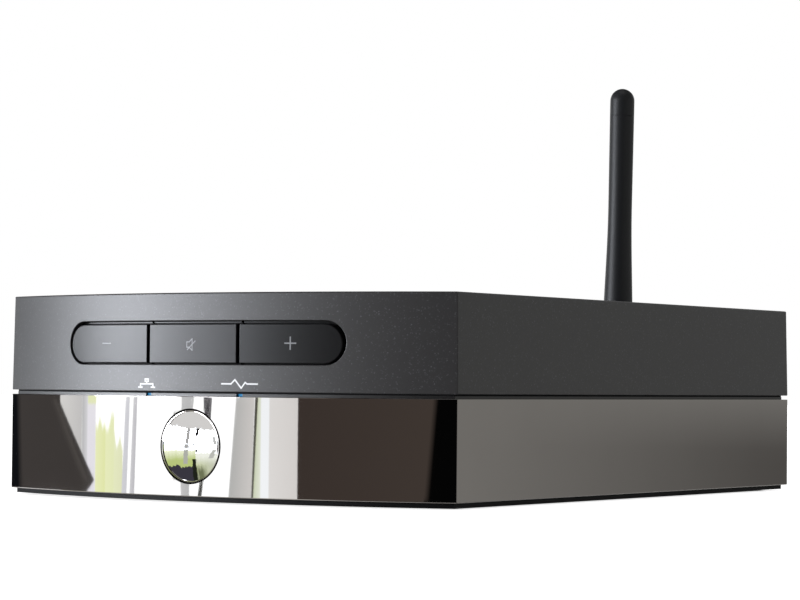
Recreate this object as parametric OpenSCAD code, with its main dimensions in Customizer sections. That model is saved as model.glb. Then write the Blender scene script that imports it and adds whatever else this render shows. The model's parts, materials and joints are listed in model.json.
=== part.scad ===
// Network music streamer: a bowed two-part case with a row of keys, a round standby key and a whip antenna.
// Millimetres. Seen from the front, X runs to the right, Y to the rear and Z up.
// The origin is on the surface that it stands on, at the middle of the overall width and depth.

/* [Case] */
// Width across the flat sides
case_w = 150; // [144:1:170]
// Depth of the flat sides, from the front corners to the rear edges
side_d = 195; // [185:1:220]
// Radius of the bowed front in plan
bow_r = 200; // [180:5:300]
// Height of the top cover
upper_h = 26.5; // [25:0.5:32]
// Height of the mirror-finished lower case
lower_h = 26.7; // [25:0.1:32]
// Height of the shadow gap between the two
gap_h = 1.2; // [1:0.1:2]
// Height of the open seam in its upper part, between the frame and the top cover
seam_h = 0.45; // [0.3:0.05:0.6]
// How far the shadow gap and the base sit in from the case walls
rebate = 1.4; // [1:0.1:1.7]
// Wall thickness of the top cover and the lower case
wall = 2.2; // [2:0.1:2.6]
// How far the top cover's walls lean in over their height
draft = 0.4; // [0.2:0.1:0.8]
// Radius of the top cover's upper edge
edge_r = 0.7; // [0.4:0.1:1.2]
// Radius of the lower case's upper edge
lower_edge_r = 0.5; // [0.2:0.1:0.8]
// Height of the base's visible rim
base_rim_h = 1.3; // [1:0.1:2]
// How far the feet stand out below the base
foot_proud = 0.5; // [0.3:0.1:1.5]
// Radius of a rubber foot
foot_r = 6; // [4:0.5:8]

/* [Keys] */
// Width of the opening for the three keys
key_open_w = 92.6; // [86:0.2:98]
// Height of that opening
key_open_h = 11.6; // [10:0.2:13]
// Height of its middle above the top cover's lower edge
key_rise = 13.05; // [12.5:0.05:13.6]
// Distance between the two gaps that part the keys
key_pitch = 30; // [26:0.5:34]
// Gap between neighbouring keys
key_gap = 0.9; // [0.7:0.1:1.4]
// Gap round the keys at their ends and below
key_play = 0.4; // [0.3:0.05:0.6]
// Gap above the keys
key_play_top = 0.9; // [0.4:0.05:1.2]
// How far a key sits below the case's surface
key_sink = 0.15; // [0.05:0.05:0.4]
// Travel of a key
key_travel = 0.6; // [0.3:0.1:0.8]

/* [Lights] */
// Place of the network light to the left of the middle
net_light_x = 15.7; // [12:0.1:20]
// Place of the status light to the right of the middle
status_light_x = 14.8; // [12:0.1:20]
// Width of a light pipe
pipe_w = 1.6; // [1.2:0.1:3]
// How far a light pipe sits in from the bottom of the shadow gap
pipe_sink = 0.7; // [0.2:0.1:1]

/* [Standby key] */
// Diameter of the hole for the standby key
standby_hole_d = 20; // [18:0.2:21]
// Gap round the standby key
standby_play = 0.3; // [0.3:0.05:0.5]
// Radius of the key's domed face
dome_r = 47; // [35:1:80]
// How far the dome's crown stands out of the case
dome_proud = 0.5; // [0.2:0.1:1]

/* [Antenna] */
// Sideways place of the antenna
antenna_x = 3; // [-4:0.5:8]
// Distance of the antenna socket below the case's top
antenna_drop = 10.2; // [9:0.2:12]
// Length of the whip from its hinge to its tip
whip_l = 86; // [70:1:120]
// Radius of the whip at its hinge
whip_base_r = 5; // [4.6:0.1:6]
// Radius of the whip at its waist
whip_waist_r = 3.95; // [3.5:0.05:4.2]
// Radius of the whip's tip cap
whip_tip_r = 4.05; // [3.6:0.05:4.4]
// Length of the tip cap
whip_cap_l = 9.3; // [7:0.1:14]
// How far the whip leans back, in degrees
whip_lean = 1.7; // [0:0.1:5]
// Number of flutes round the coupling
flute_count = 24; // [12:1:30]

/* [Rear] */
// How far the rear panel sits in from the case's rear edges
panel_recess = 1.5; // [1:0.1:2.5]
// Distance between the phono sockets
phono_pitch = 14; // [13:0.5:16]
// Place of the middle phono socket, in from the left side
phono_in = 39; // [37:1:43]
// Place of the network socket, in from the right side
lan_in = 53; // [51:1:57]
// Place of the power socket, in from the right side
dc_in = 29; // [25:1:35]

/* [Hidden] */

$fn = 72;
// Finer facets for the shallow curves of the bow and the dome
bow_fn = 480;
// Small overlap that lets cuts pass through faces
cut = 1;
// Clearance between pieces that are fitted together
fit = 0.15;
// Clearance between a plunger or pin and its bore
run = 0.05;
// Depth of a blind hole past the tip of what goes in
hole_over = 0.5;
// Free travel left behind a switch's plunger
tip_clear = 0.2;

// Depths of the antenna's joints, from the panel to the hinge
bow_rise = bow_r - sqrt(bow_r * bow_r - case_w * case_w / 4);
panel_t = 1.5;
panel_nut_t = 2.2;
coupling_l = 9.4;
coupling_gap = 0.4;
collar_l = 3.7;
elbow_gap = 0.3;
// Clearance of the whip's foot behind the collar
hinge_gap = 0.5;
// Distance from the panel's outer face to the hinge pin
elbow_reach = panel_nut_t + coupling_gap + coupling_l + elbow_gap + collar_l + hinge_gap + whip_base_r;
whip_back = max(whip_base_r, (whip_l - whip_tip_r) * sin(whip_lean) + whip_tip_r);
overall_d = dome_proud + bow_rise + side_d - panel_recess + elbow_reach + whip_back;

y_apex = dome_proud - overall_d / 2;
y_corner = y_apex + bow_rise;
y_rear = y_corner + side_d;
y_bow = y_apex + bow_r;
y_panel = y_rear - panel_recess;
y_panel_in = y_panel - panel_t;
y_coupling = y_panel + panel_nut_t + coupling_gap;
y_coupling_end = y_coupling + coupling_l;
y_collar = y_coupling_end + elbow_gap;
y_hinge = y_panel + elbow_reach;

// Height of the base's floor above the lower case's lower edge
floor_rise = 1.2;
z_base = foot_proud;
z_lower = z_base + base_rim_h;
z_gap = z_lower + lower_h;
z_upper = z_gap + gap_h;
z_top = z_upper + upper_h;
z_roof = z_top - wall;
z_floor = z_lower + floor_rise;
z_key = z_upper + key_rise;
z_led = z_gap + (gap_h - seam_h) / 2;
z_standby = z_lower + lower_h / 2;
z_antenna = z_top - antenna_drop;

inner_w = case_w - 2 * wall;
far = case_w + side_d;

// Screws: radius of the shank, of its hole and of a clear hole
screw_r = 1.45;
screw_hole_r = 1.5;
screw_clear_r = 1.7;
screw_head_r = 2.8;
screw_head_h = 1.8;
head_clear = 0.3;
head_sink = 0.4;
small_screw_r = 1.2;
small_hole_r = 1.25;
small_clear_r = 1.4;
small_head_r = 2.2;
small_head_h = 1.5;

// Case screws stand in pillars near the corners
pillar_r = 4;
pillar_in = 2.5;
pillar_front = 12;
pillar_back = 14;
pillar_clear = 1;
pillar_x = inner_w / 2 - pillar_r - pillar_in;
pillar_ys = [y_corner + pillar_front, y_rear - pillar_back];
boss_bite = 10;
head_recess = screw_head_h + head_sink;

// Frame between the shells: a skirt inside both, and lugs that the pillars clamp
skirt_h = 3;
skirt_t = 1.6;
skirt_in = wall + fit;
frame_in = skirt_in + skirt_t;
lug_t = 2.5;
lug_over = 0.2;
lug_end = 1;
lug_d = 2 * (pillar_r + lug_over);
lug_x0 = pillar_x - pillar_r - lug_end;
lug_x1 = case_w / 2 - skirt_in - skirt_t / 2;
z_lug = z_upper - lug_t;
// Clearance of the skirt's notch beside the standby key's flange
notch_clear = 1;

// Feet and air slots of the base
foot_t = 1.5;
foot_in = 20;
foot_front = 31;
foot_back = 33;
foot_chamfer = 0.3;
foot_x = case_w / 2 - foot_in;
foot_ys = [y_corner + foot_front, y_rear - foot_back];
vent_side = 5;
vent_pitch = 6;
vent_w = 2.2;
vent_front = 50;
vent_l = 30;

// Rear panel
panel_foot = 10;
panel_screw_in = 6;
// Floor left under a panel screw's hole
panel_screw_floor = 0.4;

// Main board
board_t = 1.6;
board_in = 16;
board_d = 140;
board_gap = 0.5;
standoff_r = 3;
standoff_h = 5;
board_hole_in = 5;
board_hole_back = 16;
board_w = case_w - 2 * board_in;
z_board = z_floor + standoff_h;
z_board_top = z_board + board_t;
board_y1 = y_panel_in - board_gap;
board_y0 = board_y1 - board_d;
board_hole_x = board_w / 2 - board_hole_in;
board_hole_ys = [board_y0 + board_hole_in, board_y1 - board_hole_back];

// Packages on the main board: places across it, and behind its front edge
processor_x = -24;
processor_back = 62;
processor_w = 23;
processor_t = 1.8;
sink_w = 32;
sink_base = 2;
sink_h = 9;
fin_side = 4;
fin_pitch = 3.8;
fin_t = 1.2;
memory_x = 12;
memory_back = 63;
memory_w = 14;
flash_back = 41;
flash_w = 10;
chip_t = 1.2;
converter_x = -36;
converter_back = 107;
converter_w = 8;
converter_t = 1.6;
choke_x = 36;
choke_back = 98;
choke_w = 12;
choke_t = 4;
can_count = 5;
can_in = 15;
can_x = board_w / 2 - can_in;
can_back = 28;
can_pitch = 11;
can_r = 4;
can_h = 11.5;
module_w = 18;
module_d = 25;
module_t = 2.6;
module_back = 88;
module_y = board_y0 + module_back;
z_module = z_board_top + module_t;
lead_plug_r = 1.6;
lead_plug_h = 1.2;

// Keys, from the front to the rear
key_slack = 0.15;
flange_t = 1.2;
flange_lip = 1.3;
flange_in = wall + key_slack + flange_t;
pad_h = key_open_h - key_play - key_play_top;
pad_z = z_key + (key_play - key_play_top) / 2;
pad_w = key_open_w - 2 * key_play;
key_inner_x = (key_pitch - key_gap) / 2;
key_outer_x = (key_pitch + key_gap) / 2;
flange_x = key_open_w / 2 + flange_lip;
side_stem_x = (key_outer_x + pad_w / 2) / 2;
stem_w = 5;
stem_play = 0.3;
stem_out = 0.8;
post_r = 2.8;
post_gap = 0.6;
key_post_bore = 4;
key_post_x = flange_x + post_r + post_gap;
guide_t = 1.5;
guide_edge = 0.4;
guide_over = 2;
// Room behind the flanges for the keys' travel
guide_gap = 2.3;
guide_w = 2 * (key_post_x + post_r + guide_edge);
guide_h = key_open_h + 2 * guide_over;
y_guide = bow_y(flange_x, flange_in) + key_travel + guide_gap;
y_stem = y_guide + guide_t + stem_out;
plunger_r = 1.7;
plunger_out = 1.2;
plunger_in = 1.4;
switch_w = 6;
switch_t = 3.6;
y_switch = y_stem + plunger_out;
y_key_board = y_switch + switch_t;
key_board_below = 2;
key_board_above = 7;
key_board_z0 = z_led - key_board_below;
key_board_z1 = z_key + key_board_above;

// Lights behind the shadow gap
led_w = 1.4;
led_t = 1;
pipe_clear = 0.05;
pipe_h = gap_h - seam_h - 2 * pipe_clear;
light_xs = [-net_light_x, status_light_x];

// Standby key, from the front to the rear
standby_r = standby_hole_d / 2 - standby_play;
standby_flange_r = standby_hole_d / 2 + flange_lip;
standby_stem_l = 4;
y_standby_flange = bow_y(standby_flange_r, wall) + key_slack;
y_standby_stem = y_standby_flange + flange_t + standby_stem_l;
y_standby_switch = y_standby_stem + plunger_out;
y_standby_board = y_standby_switch + switch_t;
standby_post_gap = 1;
standby_post_bore = 5;
standby_post_x = standby_flange_r + post_r + standby_post_gap;
standby_board_edge = 0.5;
standby_board_w = 2 * (standby_post_x + post_r + standby_board_edge);
standby_board_h = 16;

// Flat cables
ribbon_t = 0.35;
ribbon_hold = 2;
ribbon_clear = 0.1;
ribbon_cheek = 1.5;
ribbon_socket_d = 4;
ribbon_socket_h = 2.6;
ribbon_in = 2;
key_ribbon_x = 30;
key_ribbon_w = 12;
key_ribbon_rise = 5;
standby_ribbon_w = 7;
y_key_ribbon = y_key_board + board_t;
y_standby_ribbon = y_standby_board + board_t;
y_board_ribbon = board_y0 + ribbon_in;
z_key_ribbon = z_led + key_ribbon_rise;
z_board_ribbon = z_board_top + ribbon_socket_h / 2;

// Rear sockets
lan_x = case_w / 2 - lan_in;
lan_w = 16.2;
lan_h = 13.6;
lan_d = 21;
lan_proud = 0.5;
lan_port_w = 11.8;
lan_port_h = 8.2;
lan_port_d = 15;
lan_port_rise = 4;
latch_w = 6.2;
latch_h = 1.6;
latch_tab_w = 3.4;
latch_tab_h = 2.8;
lan_port_z = z_board_top + lan_port_rise;
y_lan_mouth = y_panel + lan_proud;
phono_x = case_w / 2 - phono_in;
phono_rise = 8.5;
phono_z = z_board_top + phono_rise;
phono_r = 4.15;
phono_base_r = 4.6;
phono_bore_r = 3.6;
phono_pin_r = 1.65;
phono_reach = 9;
phono_base_reach = 0.5;
phono_seat = 6;
phono_block_d = 11;
phono_block_h = 16;
phono_trim = 0.2;
insert_sink = 0.6;
insert_floor = 2;
dc_x = case_w / 2 - dc_in;
dc_rise = 6.5;
dc_z = z_board_top + dc_rise;
dc_w = 9;
dc_h = 11;
dc_d = 13;
dc_nose_r = 4;
dc_nose_l = 2.5;
dc_bore_r = 3.15;
dc_bore_d = 9.5;
dc_pin_r = 1.05;
dc_pin_sink = 1;
y_dc_mouth = y_panel_in + dc_nose_l;

// Antenna
jack_r = 3.1;
jack_reach = 9;
jack_hex_r = 4.6;
jack_hex_t = 2.5;
jack_tail = 5;
jack_tail_r = 2;
jack_bore_r = 2.3;
jack_bore_d = 5;
coupling_r = 4.7;
coupling_seat = 0.3;
end_chamfer = 0.6;
flute_r = 0.4;
spigot_r = 2;
spigot_gap = 0.6;
hinge_pin_r = 1.2;
hinge_play = 0.3;
tongue_r = 4.6;
tongue_t = 4;
tongue_h = 7.2;
fork_flat = 0.4;
fork_end = 0.6;
fork_w = 2 * (whip_base_r - fork_flat);
fork_slot = tongue_t + 2 * hinge_play;
fork_l = tongue_r + fork_end;
whip_neck = 2;
whip_flare_l = 46;
cap_chamfer = 0.2;
lead_r = 0.7;
lead_bend = 10;

// Front surface of the bow at a given place across the case, set in by a given amount
function bow_y(x, inset) = y_bow - sqrt(pow(bow_r - inset, 2) - x * x);

// Leaning wall with a rounded upper edge, at a given reach and between given heights
function edge_points(reach, z0, z1, lean, r) = concat(
  [[reach, z0]],
  [for (a = [0:22.5:90]) [reach - lean - r * (1 - cos(a)), z1 - r * (1 - sin(a))]]
);

// Radius of the whip at a given distance from its hinge
function whip_r(s) = s < whip_flare_l
  ? whip_waist_r + (whip_base_r - whip_waist_r) * (1 + cos(180 * s / whip_flare_l)) / 2
  : whip_waist_r + (whip_tip_r - whip_waist_r) * (s - whip_flare_l) / (whip_l - whip_cap_l - whip_flare_l);

// Plan of the case, set in by a given amount
module plan(inset) {
  intersection() {
    translate([0, y_bow]) circle(r = bow_r - inset, $fn = bow_fn);
    translate([inset - case_w / 2, y_apex - cut]) square([case_w - 2 * inset, y_rear - inset - y_apex + cut]);
  }
}

// The same plan, run on past the open rear
module open_plan(inset) {
  intersection() {
    translate([0, y_bow]) circle(r = bow_r - inset, $fn = bow_fn);
    translate([inset - case_w / 2, y_apex - cut]) square([case_w - 2 * inset, y_rear - y_apex + 2 * cut]);
  }
}

// Block with the leaning wall on its right
module leaning_block(reach, z0, z1, lean, r) {
  rotate([90, 0, 0])
    linear_extrude(height = 3 * far, center = true)
      polygon(concat([[-far, z0]], edge_points(reach, z0, z1, lean, r), [[-far, z1]]));
}

// Solid outside of a shell: the bowed front, the two sides and the rear, with a rounded upper edge
module shell_block(z0, z1, lean, r) {
  intersection() {
    translate([0, y_bow, 0])
      rotate_extrude($fn = bow_fn)
        polygon(concat([[0, z0]], edge_points(bow_r, z0, z1, lean, r), [[0, z1]]));
    leaning_block(case_w / 2, z0, z1, lean, r);
    mirror([1, 0, 0]) leaning_block(case_w / 2, z0, z1, lean, r);
    rotate([0, 0, 90]) leaning_block(y_rear, z0, z1, lean, r);
  }
}

// Rod along Y from y0 to y1
module rod(x, z, r, y0, y1) {
  translate([x, y0, z]) rotate([-90, 0, 0]) cylinder(r = r, h = y1 - y0);
}

// Upright rod from z0 to z1
module post(x, y, r, z0, z1) {
  translate([x, y, z0]) cylinder(r = r, h = z1 - z0);
}

// Block centred on x, between given depths and heights
module block(x, w, y0, y1, z0, z1) {
  translate([x - w / 2, y0, z0]) cube([w, y1 - y0, z1 - z0]);
}

// Pushes a front view along Y, from just before the apex to a given depth behind it
module push(depth) {
  translate([0, y_apex + depth, 0])
    rotate([90, 0, 0])
      linear_extrude(height = depth + cut)
        children();
}

// Bowed layer between two depths behind the front
module bow_layer(front, back) {
  translate([0, y_bow, z_upper])
    difference() {
      cylinder(r = bow_r - front, h = upper_h, $fn = bow_fn);
      translate([0, 0, -cut]) cylinder(r = bow_r - back, h = upper_h + 2 * cut, $fn = bow_fn);
    }
}

// Slot with round ends
module stadium(w, h) {
  union() {
    square([w - h, h], center = true);
    for (side = [-1, 1]) translate([side * (w - h) / 2, 0]) circle(r = h / 2);
  }
}

module at_pillars() {
  for (x = [-pillar_x, pillar_x], y = pillar_ys) translate([x, y, 0]) children();
}

module at_board_holes() {
  for (x = [-board_hole_x, board_hole_x], y = board_hole_ys) translate([x, y, 0]) children();
}

module at_panel_screws() {
  for (x = [-board_hole_x, board_hole_x]) translate([x, y_panel_in - panel_screw_in, 0]) children();
}

module at_phono() {
  for (i = [-1:1]) translate([i * phono_pitch - phono_x, 0, 0]) children();
}

// Screw along +Z with its head below z = 0
module screw(r, l, head_r, head_h) {
  translate([0, 0, -head_h]) cylinder(r = head_r, h = head_h);
  translate([0, 0, -head_h / 2]) cylinder(r = r, h = l + head_h / 2);
}

// Inset base with screw pillars, board stand-offs and air slots
module base_plate() {
  color([0.07, 0.07, 0.08])
    difference() {
      union() {
        translate([0, 0, z_base]) linear_extrude(height = base_rim_h) plan(rebate);
        translate([0, 0, z_lower - cut / 2])
          linear_extrude(height = z_floor - z_lower + cut / 2)
            intersection() {
              open_plan(wall + fit);
              translate([-case_w, y_apex]) square([2 * case_w, y_panel - y_apex]);
            }
        at_pillars() post(0, 0, pillar_r, z_floor - cut, z_lug);
        at_board_holes() post(0, 0, standoff_r, z_floor - cut, z_board);
      }
      at_pillars() post(0, 0, screw_clear_r, z_base - cut, z_lug + cut);
      at_pillars() post(0, 0, screw_head_r + head_clear, z_base - cut, z_base + head_recess);
      at_board_holes() post(0, 0, small_hole_r, z_floor, z_board + cut);
      at_panel_screws() post(0, 0, screw_hole_r, z_base + panel_screw_floor, z_floor + cut);
      for (x = [-foot_x, foot_x], y = foot_ys) post(x, y, foot_r + fit, z_base - cut, foot_t);
      for (i = [-vent_side:vent_side])
        block(
          i * vent_pitch, vent_w,
          board_y0 + vent_front, board_y0 + vent_front + vent_l,
          z_base - cut, z_floor + cut
        );
    }
}

// Thin round feet with a chamfered edge
module rubber_feet() {
  color([0.12, 0.12, 0.12])
    for (x = [-foot_x, foot_x], y = foot_ys)
      translate([x, y, 0])
        rotate_extrude()
          polygon([
            [0, 0], [foot_r - foot_chamfer, 0], [foot_r, foot_chamfer],
            [foot_r, foot_t], [0, foot_t]
          ]);
}

// Mirror-finished band with the standby key's hole and two posts behind it
module lower_case() {
  color([0.25, 0.23, 0.22])
    difference() {
      union() {
        difference() {
          shell_block(z_lower, z_gap, 0, lower_edge_r);
          translate([0, 0, z_lower - cut])
            linear_extrude(height = lower_h + 2 * cut)
              open_plan(wall);
        }
        for (x = [-standby_post_x, standby_post_x])
          rod(x, z_standby, post_r, bow_y(standby_post_x, wall / 2), y_standby_board);
      }
      rod(0, z_standby, standby_hole_d / 2, y_apex - cut, y_apex + 2 * wall);
      for (x = [-standby_post_x, standby_post_x])
        rod(x, z_standby, small_hole_r, y_standby_board - standby_post_bore, y_standby_board + cut);
    }
}

// Frame that parts the two shells, shows as the shadow gap and carries the light pipes
module chassis_frame() {
  color([0.1, 0.1, 0.11])
    difference() {
      union() {
        translate([0, 0, z_gap])
          linear_extrude(height = gap_h - seam_h)
            difference() {
              plan(rebate);
              open_plan(frame_in);
            }
        translate([0, 0, z_gap - skirt_h])
          linear_extrude(height = gap_h + 2 * skirt_h)
            difference() {
              open_plan(skirt_in);
              open_plan(frame_in);
            }
        for (side = [-1, 1], y = pillar_ys)
          block(side * (lug_x0 + lug_x1) / 2, lug_x1 - lug_x0, y - lug_d / 2, y + lug_d / 2, z_lug, z_upper);
      }
      block(0, 2 * (standby_flange_r + notch_clear), y_apex, y_standby_stem, z_gap - skirt_h - cut, z_gap);
      block(0, inner_w, y_panel_in - fit, y_rear + 2 * cut, z_gap - skirt_h - cut, z_top);
      at_pillars() post(0, 0, screw_clear_r, z_lug - cut, z_upper + cut);
      for (x = light_xs) block(x, pipe_w + 2 * fit, y_apex, y_key_board, z_gap, z_upper);
    }
}

// Moulded cover with drafted walls, screw bosses and key posts
module top_cover() {
  color([0.3, 0.3, 0.31])
    difference() {
      union() {
        difference() {
          shell_block(z_upper, z_top, draft, edge_r);
          translate([0, 0, z_upper - cut])
            linear_extrude(height = z_roof - z_upper + cut)
              open_plan(wall);
        }
        at_pillars() post(0, 0, pillar_r, z_upper, z_roof + wall / 2);
        for (x = [-key_post_x, key_post_x])
          rod(x, z_key, post_r, bow_y(key_post_x, wall / 2), y_guide);
      }
      push(bow_rise + wall) translate([0, z_key]) stadium(key_open_w, key_open_h);
      at_pillars() post(0, 0, screw_hole_r, z_upper - cut, z_upper + boss_bite + hole_over);
      for (x = [-key_post_x, key_post_x])
        rod(x, z_key, small_hole_r, y_guide - key_post_bore, y_guide + cut);
    }
}

// Folded steel panel with a foot flange and the socket holes
module rear_panel() {
  color([0.16, 0.16, 0.17])
    difference() {
      union() {
        block(0, inner_w - 2 * fit, y_panel_in, y_panel, z_floor, z_roof - fit);
        block(0, inner_w - 2 * fit, y_panel_in - panel_foot, y_panel, z_floor, z_floor + panel_t);
      }
      at_pillars() post(0, 0, pillar_r + pillar_clear, z_floor - cut, z_top);
      at_panel_screws() post(0, 0, screw_clear_r, z_floor - cut, z_floor + panel_t + cut);
      block(
        lan_x, lan_w + 2 * fit,
        y_panel_in - cut, y_panel + cut,
        z_board_top - fit, z_board_top + lan_h + fit
      );
      at_phono() rod(0, phono_z, phono_base_r + fit, y_panel_in - cut, y_panel + cut);
      rod(dc_x, dc_z, dc_nose_r + fit, y_panel_in - cut, y_panel + cut);
      rod(antenna_x, z_antenna, jack_r + fit, y_panel_in - cut, y_panel + cut);
    }
}

module case_screws() {
  color([0.7, 0.7, 0.72])
    at_pillars()
      translate([0, 0, z_base + head_recess])
        screw(screw_r, z_upper + boss_bite - z_base - head_recess, screw_head_r, screw_head_h);
}

module panel_screws() {
  z_head = z_floor + panel_t;
  z_tip = z_base + panel_screw_floor + tip_clear;
  color([0.7, 0.7, 0.72])
    at_panel_screws()
      translate([0, 0, z_head])
        rotate([180, 0, 0])
          screw(screw_r, z_head - z_tip, screw_head_r, screw_head_h);
}

// One bowed key: pad, retaining flange and stem
module bowed_key(pad_x0, pad_x1, flange_x0, flange_x1, stem_x) {
  union() {
    intersection() {
      push(bow_rise + wall)
        intersection() {
          translate([0, pad_z]) stadium(pad_w, pad_h);
          translate([pad_x0, pad_z - pad_h]) square([pad_x1 - pad_x0, 2 * pad_h]);
        }
      bow_layer(key_sink, flange_in);
    }
    intersection() {
      push(bow_rise + wall)
        translate([flange_x0, z_key - key_open_h / 2 - flange_lip])
          square([flange_x1 - flange_x0, key_open_h + 2 * flange_lip]);
      bow_layer(wall + key_slack, flange_in);
    }
    block(
      stem_x, stem_w,
      bow_y(stem_x, flange_in - flange_t / 2), y_stem,
      z_key - stem_w / 2, z_key + stem_w / 2
    );
  }
}

module volume_down_key() {
  color([0.36, 0.36, 0.37])
    bowed_key(-pad_w, -key_outer_x, -flange_x, -key_outer_x, -side_stem_x);
}

module mute_key() {
  color([0.36, 0.36, 0.37])
    bowed_key(-key_inner_x, key_inner_x, -key_inner_x, key_inner_x, 0);
}

module volume_up_key() {
  color([0.36, 0.36, 0.37])
    bowed_key(key_outer_x, pad_w, key_outer_x, flange_x, side_stem_x);
}

// Plunger of a push switch, from a stem's end into the switch
module plunger(x, y, z) {
  rod(x, z, plunger_r, y, y + plunger_out + plunger_in);
}

// Body of a push switch with the plunger's bore
module switch_body(x, y, z) {
  difference() {
    block(x, switch_w, y, y + switch_t, z - switch_w / 2, z + switch_w / 2);
    rod(x, z, plunger_r + run, y - cut, y + plunger_in + key_travel + tip_clear);
  }
}

module volume_down_plunger() {
  color([0.2, 0.2, 0.2]) plunger(-side_stem_x, y_stem, z_key);
}

module mute_plunger() {
  color([0.2, 0.2, 0.2]) plunger(0, y_stem, z_key);
}

module volume_up_plunger() {
  color([0.2, 0.2, 0.2]) plunger(side_stem_x, y_stem, z_key);
}

// Plate that guides the key stems and spaces the key board
module key_guide() {
  color([0.15, 0.15, 0.16])
    difference() {
      union() {
        block(0, guide_w, y_guide, y_guide + guide_t, z_key - guide_h / 2, z_key + guide_h / 2);
        for (x = [-key_post_x, key_post_x]) rod(x, z_key, post_r, y_guide, y_key_board);
      }
      for (x = [-side_stem_x, 0, side_stem_x])
        block(
          x, stem_w + 2 * stem_play,
          y_guide - cut, y_guide + guide_t + cut,
          z_key - stem_w / 2 - stem_play, z_key + stem_w / 2 + stem_play
        );
      for (x = [-key_post_x, key_post_x]) rod(x, z_key, small_clear_r, y_guide - cut, y_key_board + cut);
    }
}

module key_board() {
  color([0.08, 0.3, 0.16])
    difference() {
      block(0, guide_w, y_key_board, y_key_board + board_t, key_board_z0, key_board_z1);
      for (x = [-key_post_x, key_post_x])
        rod(x, z_key, small_clear_r, y_key_board - cut, y_key_board + board_t + cut);
    }
}

module key_switches() {
  color([0.55, 0.55, 0.56])
    for (x = [-side_stem_x, 0, side_stem_x]) switch_body(x, y_switch, z_key);
}

module key_board_screws() {
  y_head = y_key_board + board_t;
  y_tip = y_guide - key_post_bore + hole_over;
  color([0.7, 0.7, 0.72])
    for (x = [-key_post_x, key_post_x])
      translate([x, y_head, z_key])
        rotate([90, 0, 0])
          screw(small_screw_r, y_head - y_tip, small_head_r, small_head_h);
}

// Domed disc with a retaining flange and a stem
module standby_key() {
  color([0.85, 0.85, 0.86])
    union() {
      translate([0, y_apex - dome_proud, z_standby])
        rotate([-90, 0, 0])
          rotate_extrude()
            intersection() {
              translate([0, dome_r]) circle(r = dome_r, $fn = bow_fn);
              square([standby_r, dome_proud + y_standby_flange + flange_t / 2 - y_apex]);
            }
      rod(0, z_standby, standby_flange_r, y_standby_flange, y_standby_flange + flange_t);
      rod(0, z_standby, stem_w / 2, y_standby_flange + flange_t / 2, y_standby_stem);
    }
}

module standby_plunger() {
  color([0.2, 0.2, 0.2]) plunger(0, y_standby_stem, z_standby);
}

module standby_board() {
  color([0.08, 0.3, 0.16])
    difference() {
      block(
        0, standby_board_w,
        y_standby_board, y_standby_board + board_t,
        z_standby - standby_board_h / 2, z_standby + standby_board_h / 2
      );
      for (x = [-standby_post_x, standby_post_x])
        rod(x, z_standby, small_clear_r, y_standby_board - cut, y_standby_board + board_t + cut);
    }
}

module standby_switch() {
  color([0.55, 0.55, 0.56]) switch_body(0, y_standby_switch, z_standby);
}

module standby_screws() {
  color([0.7, 0.7, 0.72])
    for (x = [-standby_post_x, standby_post_x])
      translate([x, y_standby_board + board_t, z_standby])
        rotate([90, 0, 0])
          screw(small_screw_r, board_t + standby_post_bore - hole_over, small_head_r, small_head_h);
}

// Clear bar from a light on the key board to the shadow gap
module light_pipe(x) {
  block(x, pipe_w, bow_y(x, rebate + pipe_sink), y_key_board - led_t, z_led - pipe_h / 2, z_led + pipe_h / 2);
}

module net_light_pipe() {
  color([0.7, 0.8, 0.9]) light_pipe(-net_light_x);
}

module status_light_pipe() {
  color([0.2, 0.5, 0.9]) light_pipe(status_light_x);
}

module indicator_leds() {
  color([0.9, 0.9, 0.8])
    for (x = light_xs)
      block(x, led_w, y_key_board - led_t, y_key_board, z_led - led_w / 2, z_led + led_w / 2);
}

module main_board() {
  color([0.08, 0.3, 0.16])
    difference() {
      block(0, board_w, board_y0, board_y1, z_board, z_board_top);
      at_board_holes() post(0, 0, small_clear_r, z_board - cut, z_board_top + cut);
    }
}

module board_screws() {
  color([0.7, 0.7, 0.72])
    at_board_holes()
      translate([0, 0, z_board_top])
        rotate([180, 0, 0])
          screw(small_screw_r, board_t + standoff_h - hole_over, small_head_r, small_head_h);
}

// Square package at a given place on the main board
module package(x, back, w, z, t) {
  block(x, w, board_y0 + back - w / 2, board_y0 + back + w / 2, z, z + t);
}

module processor() {
  color([0.1, 0.1, 0.1]) package(processor_x, processor_back, processor_w, z_board_top, processor_t);
}

// Finned heat sink on the processor
module heatsink() {
  z_sink = z_board_top + processor_t;
  y_sink = board_y0 + processor_back;
  color([0.6, 0.6, 0.62])
    union() {
      package(processor_x, processor_back, sink_w, z_sink, sink_base);
      for (i = [-fin_side:fin_side])
        block(
          processor_x + i * fin_pitch, fin_t,
          y_sink - sink_w / 2, y_sink + sink_w / 2,
          z_sink + sink_base / 2, z_sink + sink_h
        );
    }
}

// Other packages on the main board
module board_chips() {
  color([0.1, 0.1, 0.1]) {
    package(memory_x, memory_back, memory_w, z_board_top, chip_t);
    package(memory_x, flash_back, flash_w, z_board_top, chip_t);
    package(converter_x, converter_back, converter_w, z_board_top, converter_t);
    package(choke_x, choke_back, choke_w, z_board_top, choke_t);
  }
}

module board_capacitors() {
  color([0.16, 0.17, 0.2])
    for (i = [0:can_count - 1])
      post(can_x, board_y0 + can_back + i * can_pitch, can_r, z_board_top, z_board_top + can_h);
}

// Shielded radio module with its lead's connector
module wireless_module() {
  color([0.75, 0.75, 0.76])
    union() {
      block(antenna_x, module_w, module_y - module_d / 2, module_y + module_d / 2, z_board_top, z_module);
      post(antenna_x, module_y, lead_plug_r, z_module - cut, z_module + lead_plug_h);
    }
}

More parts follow.
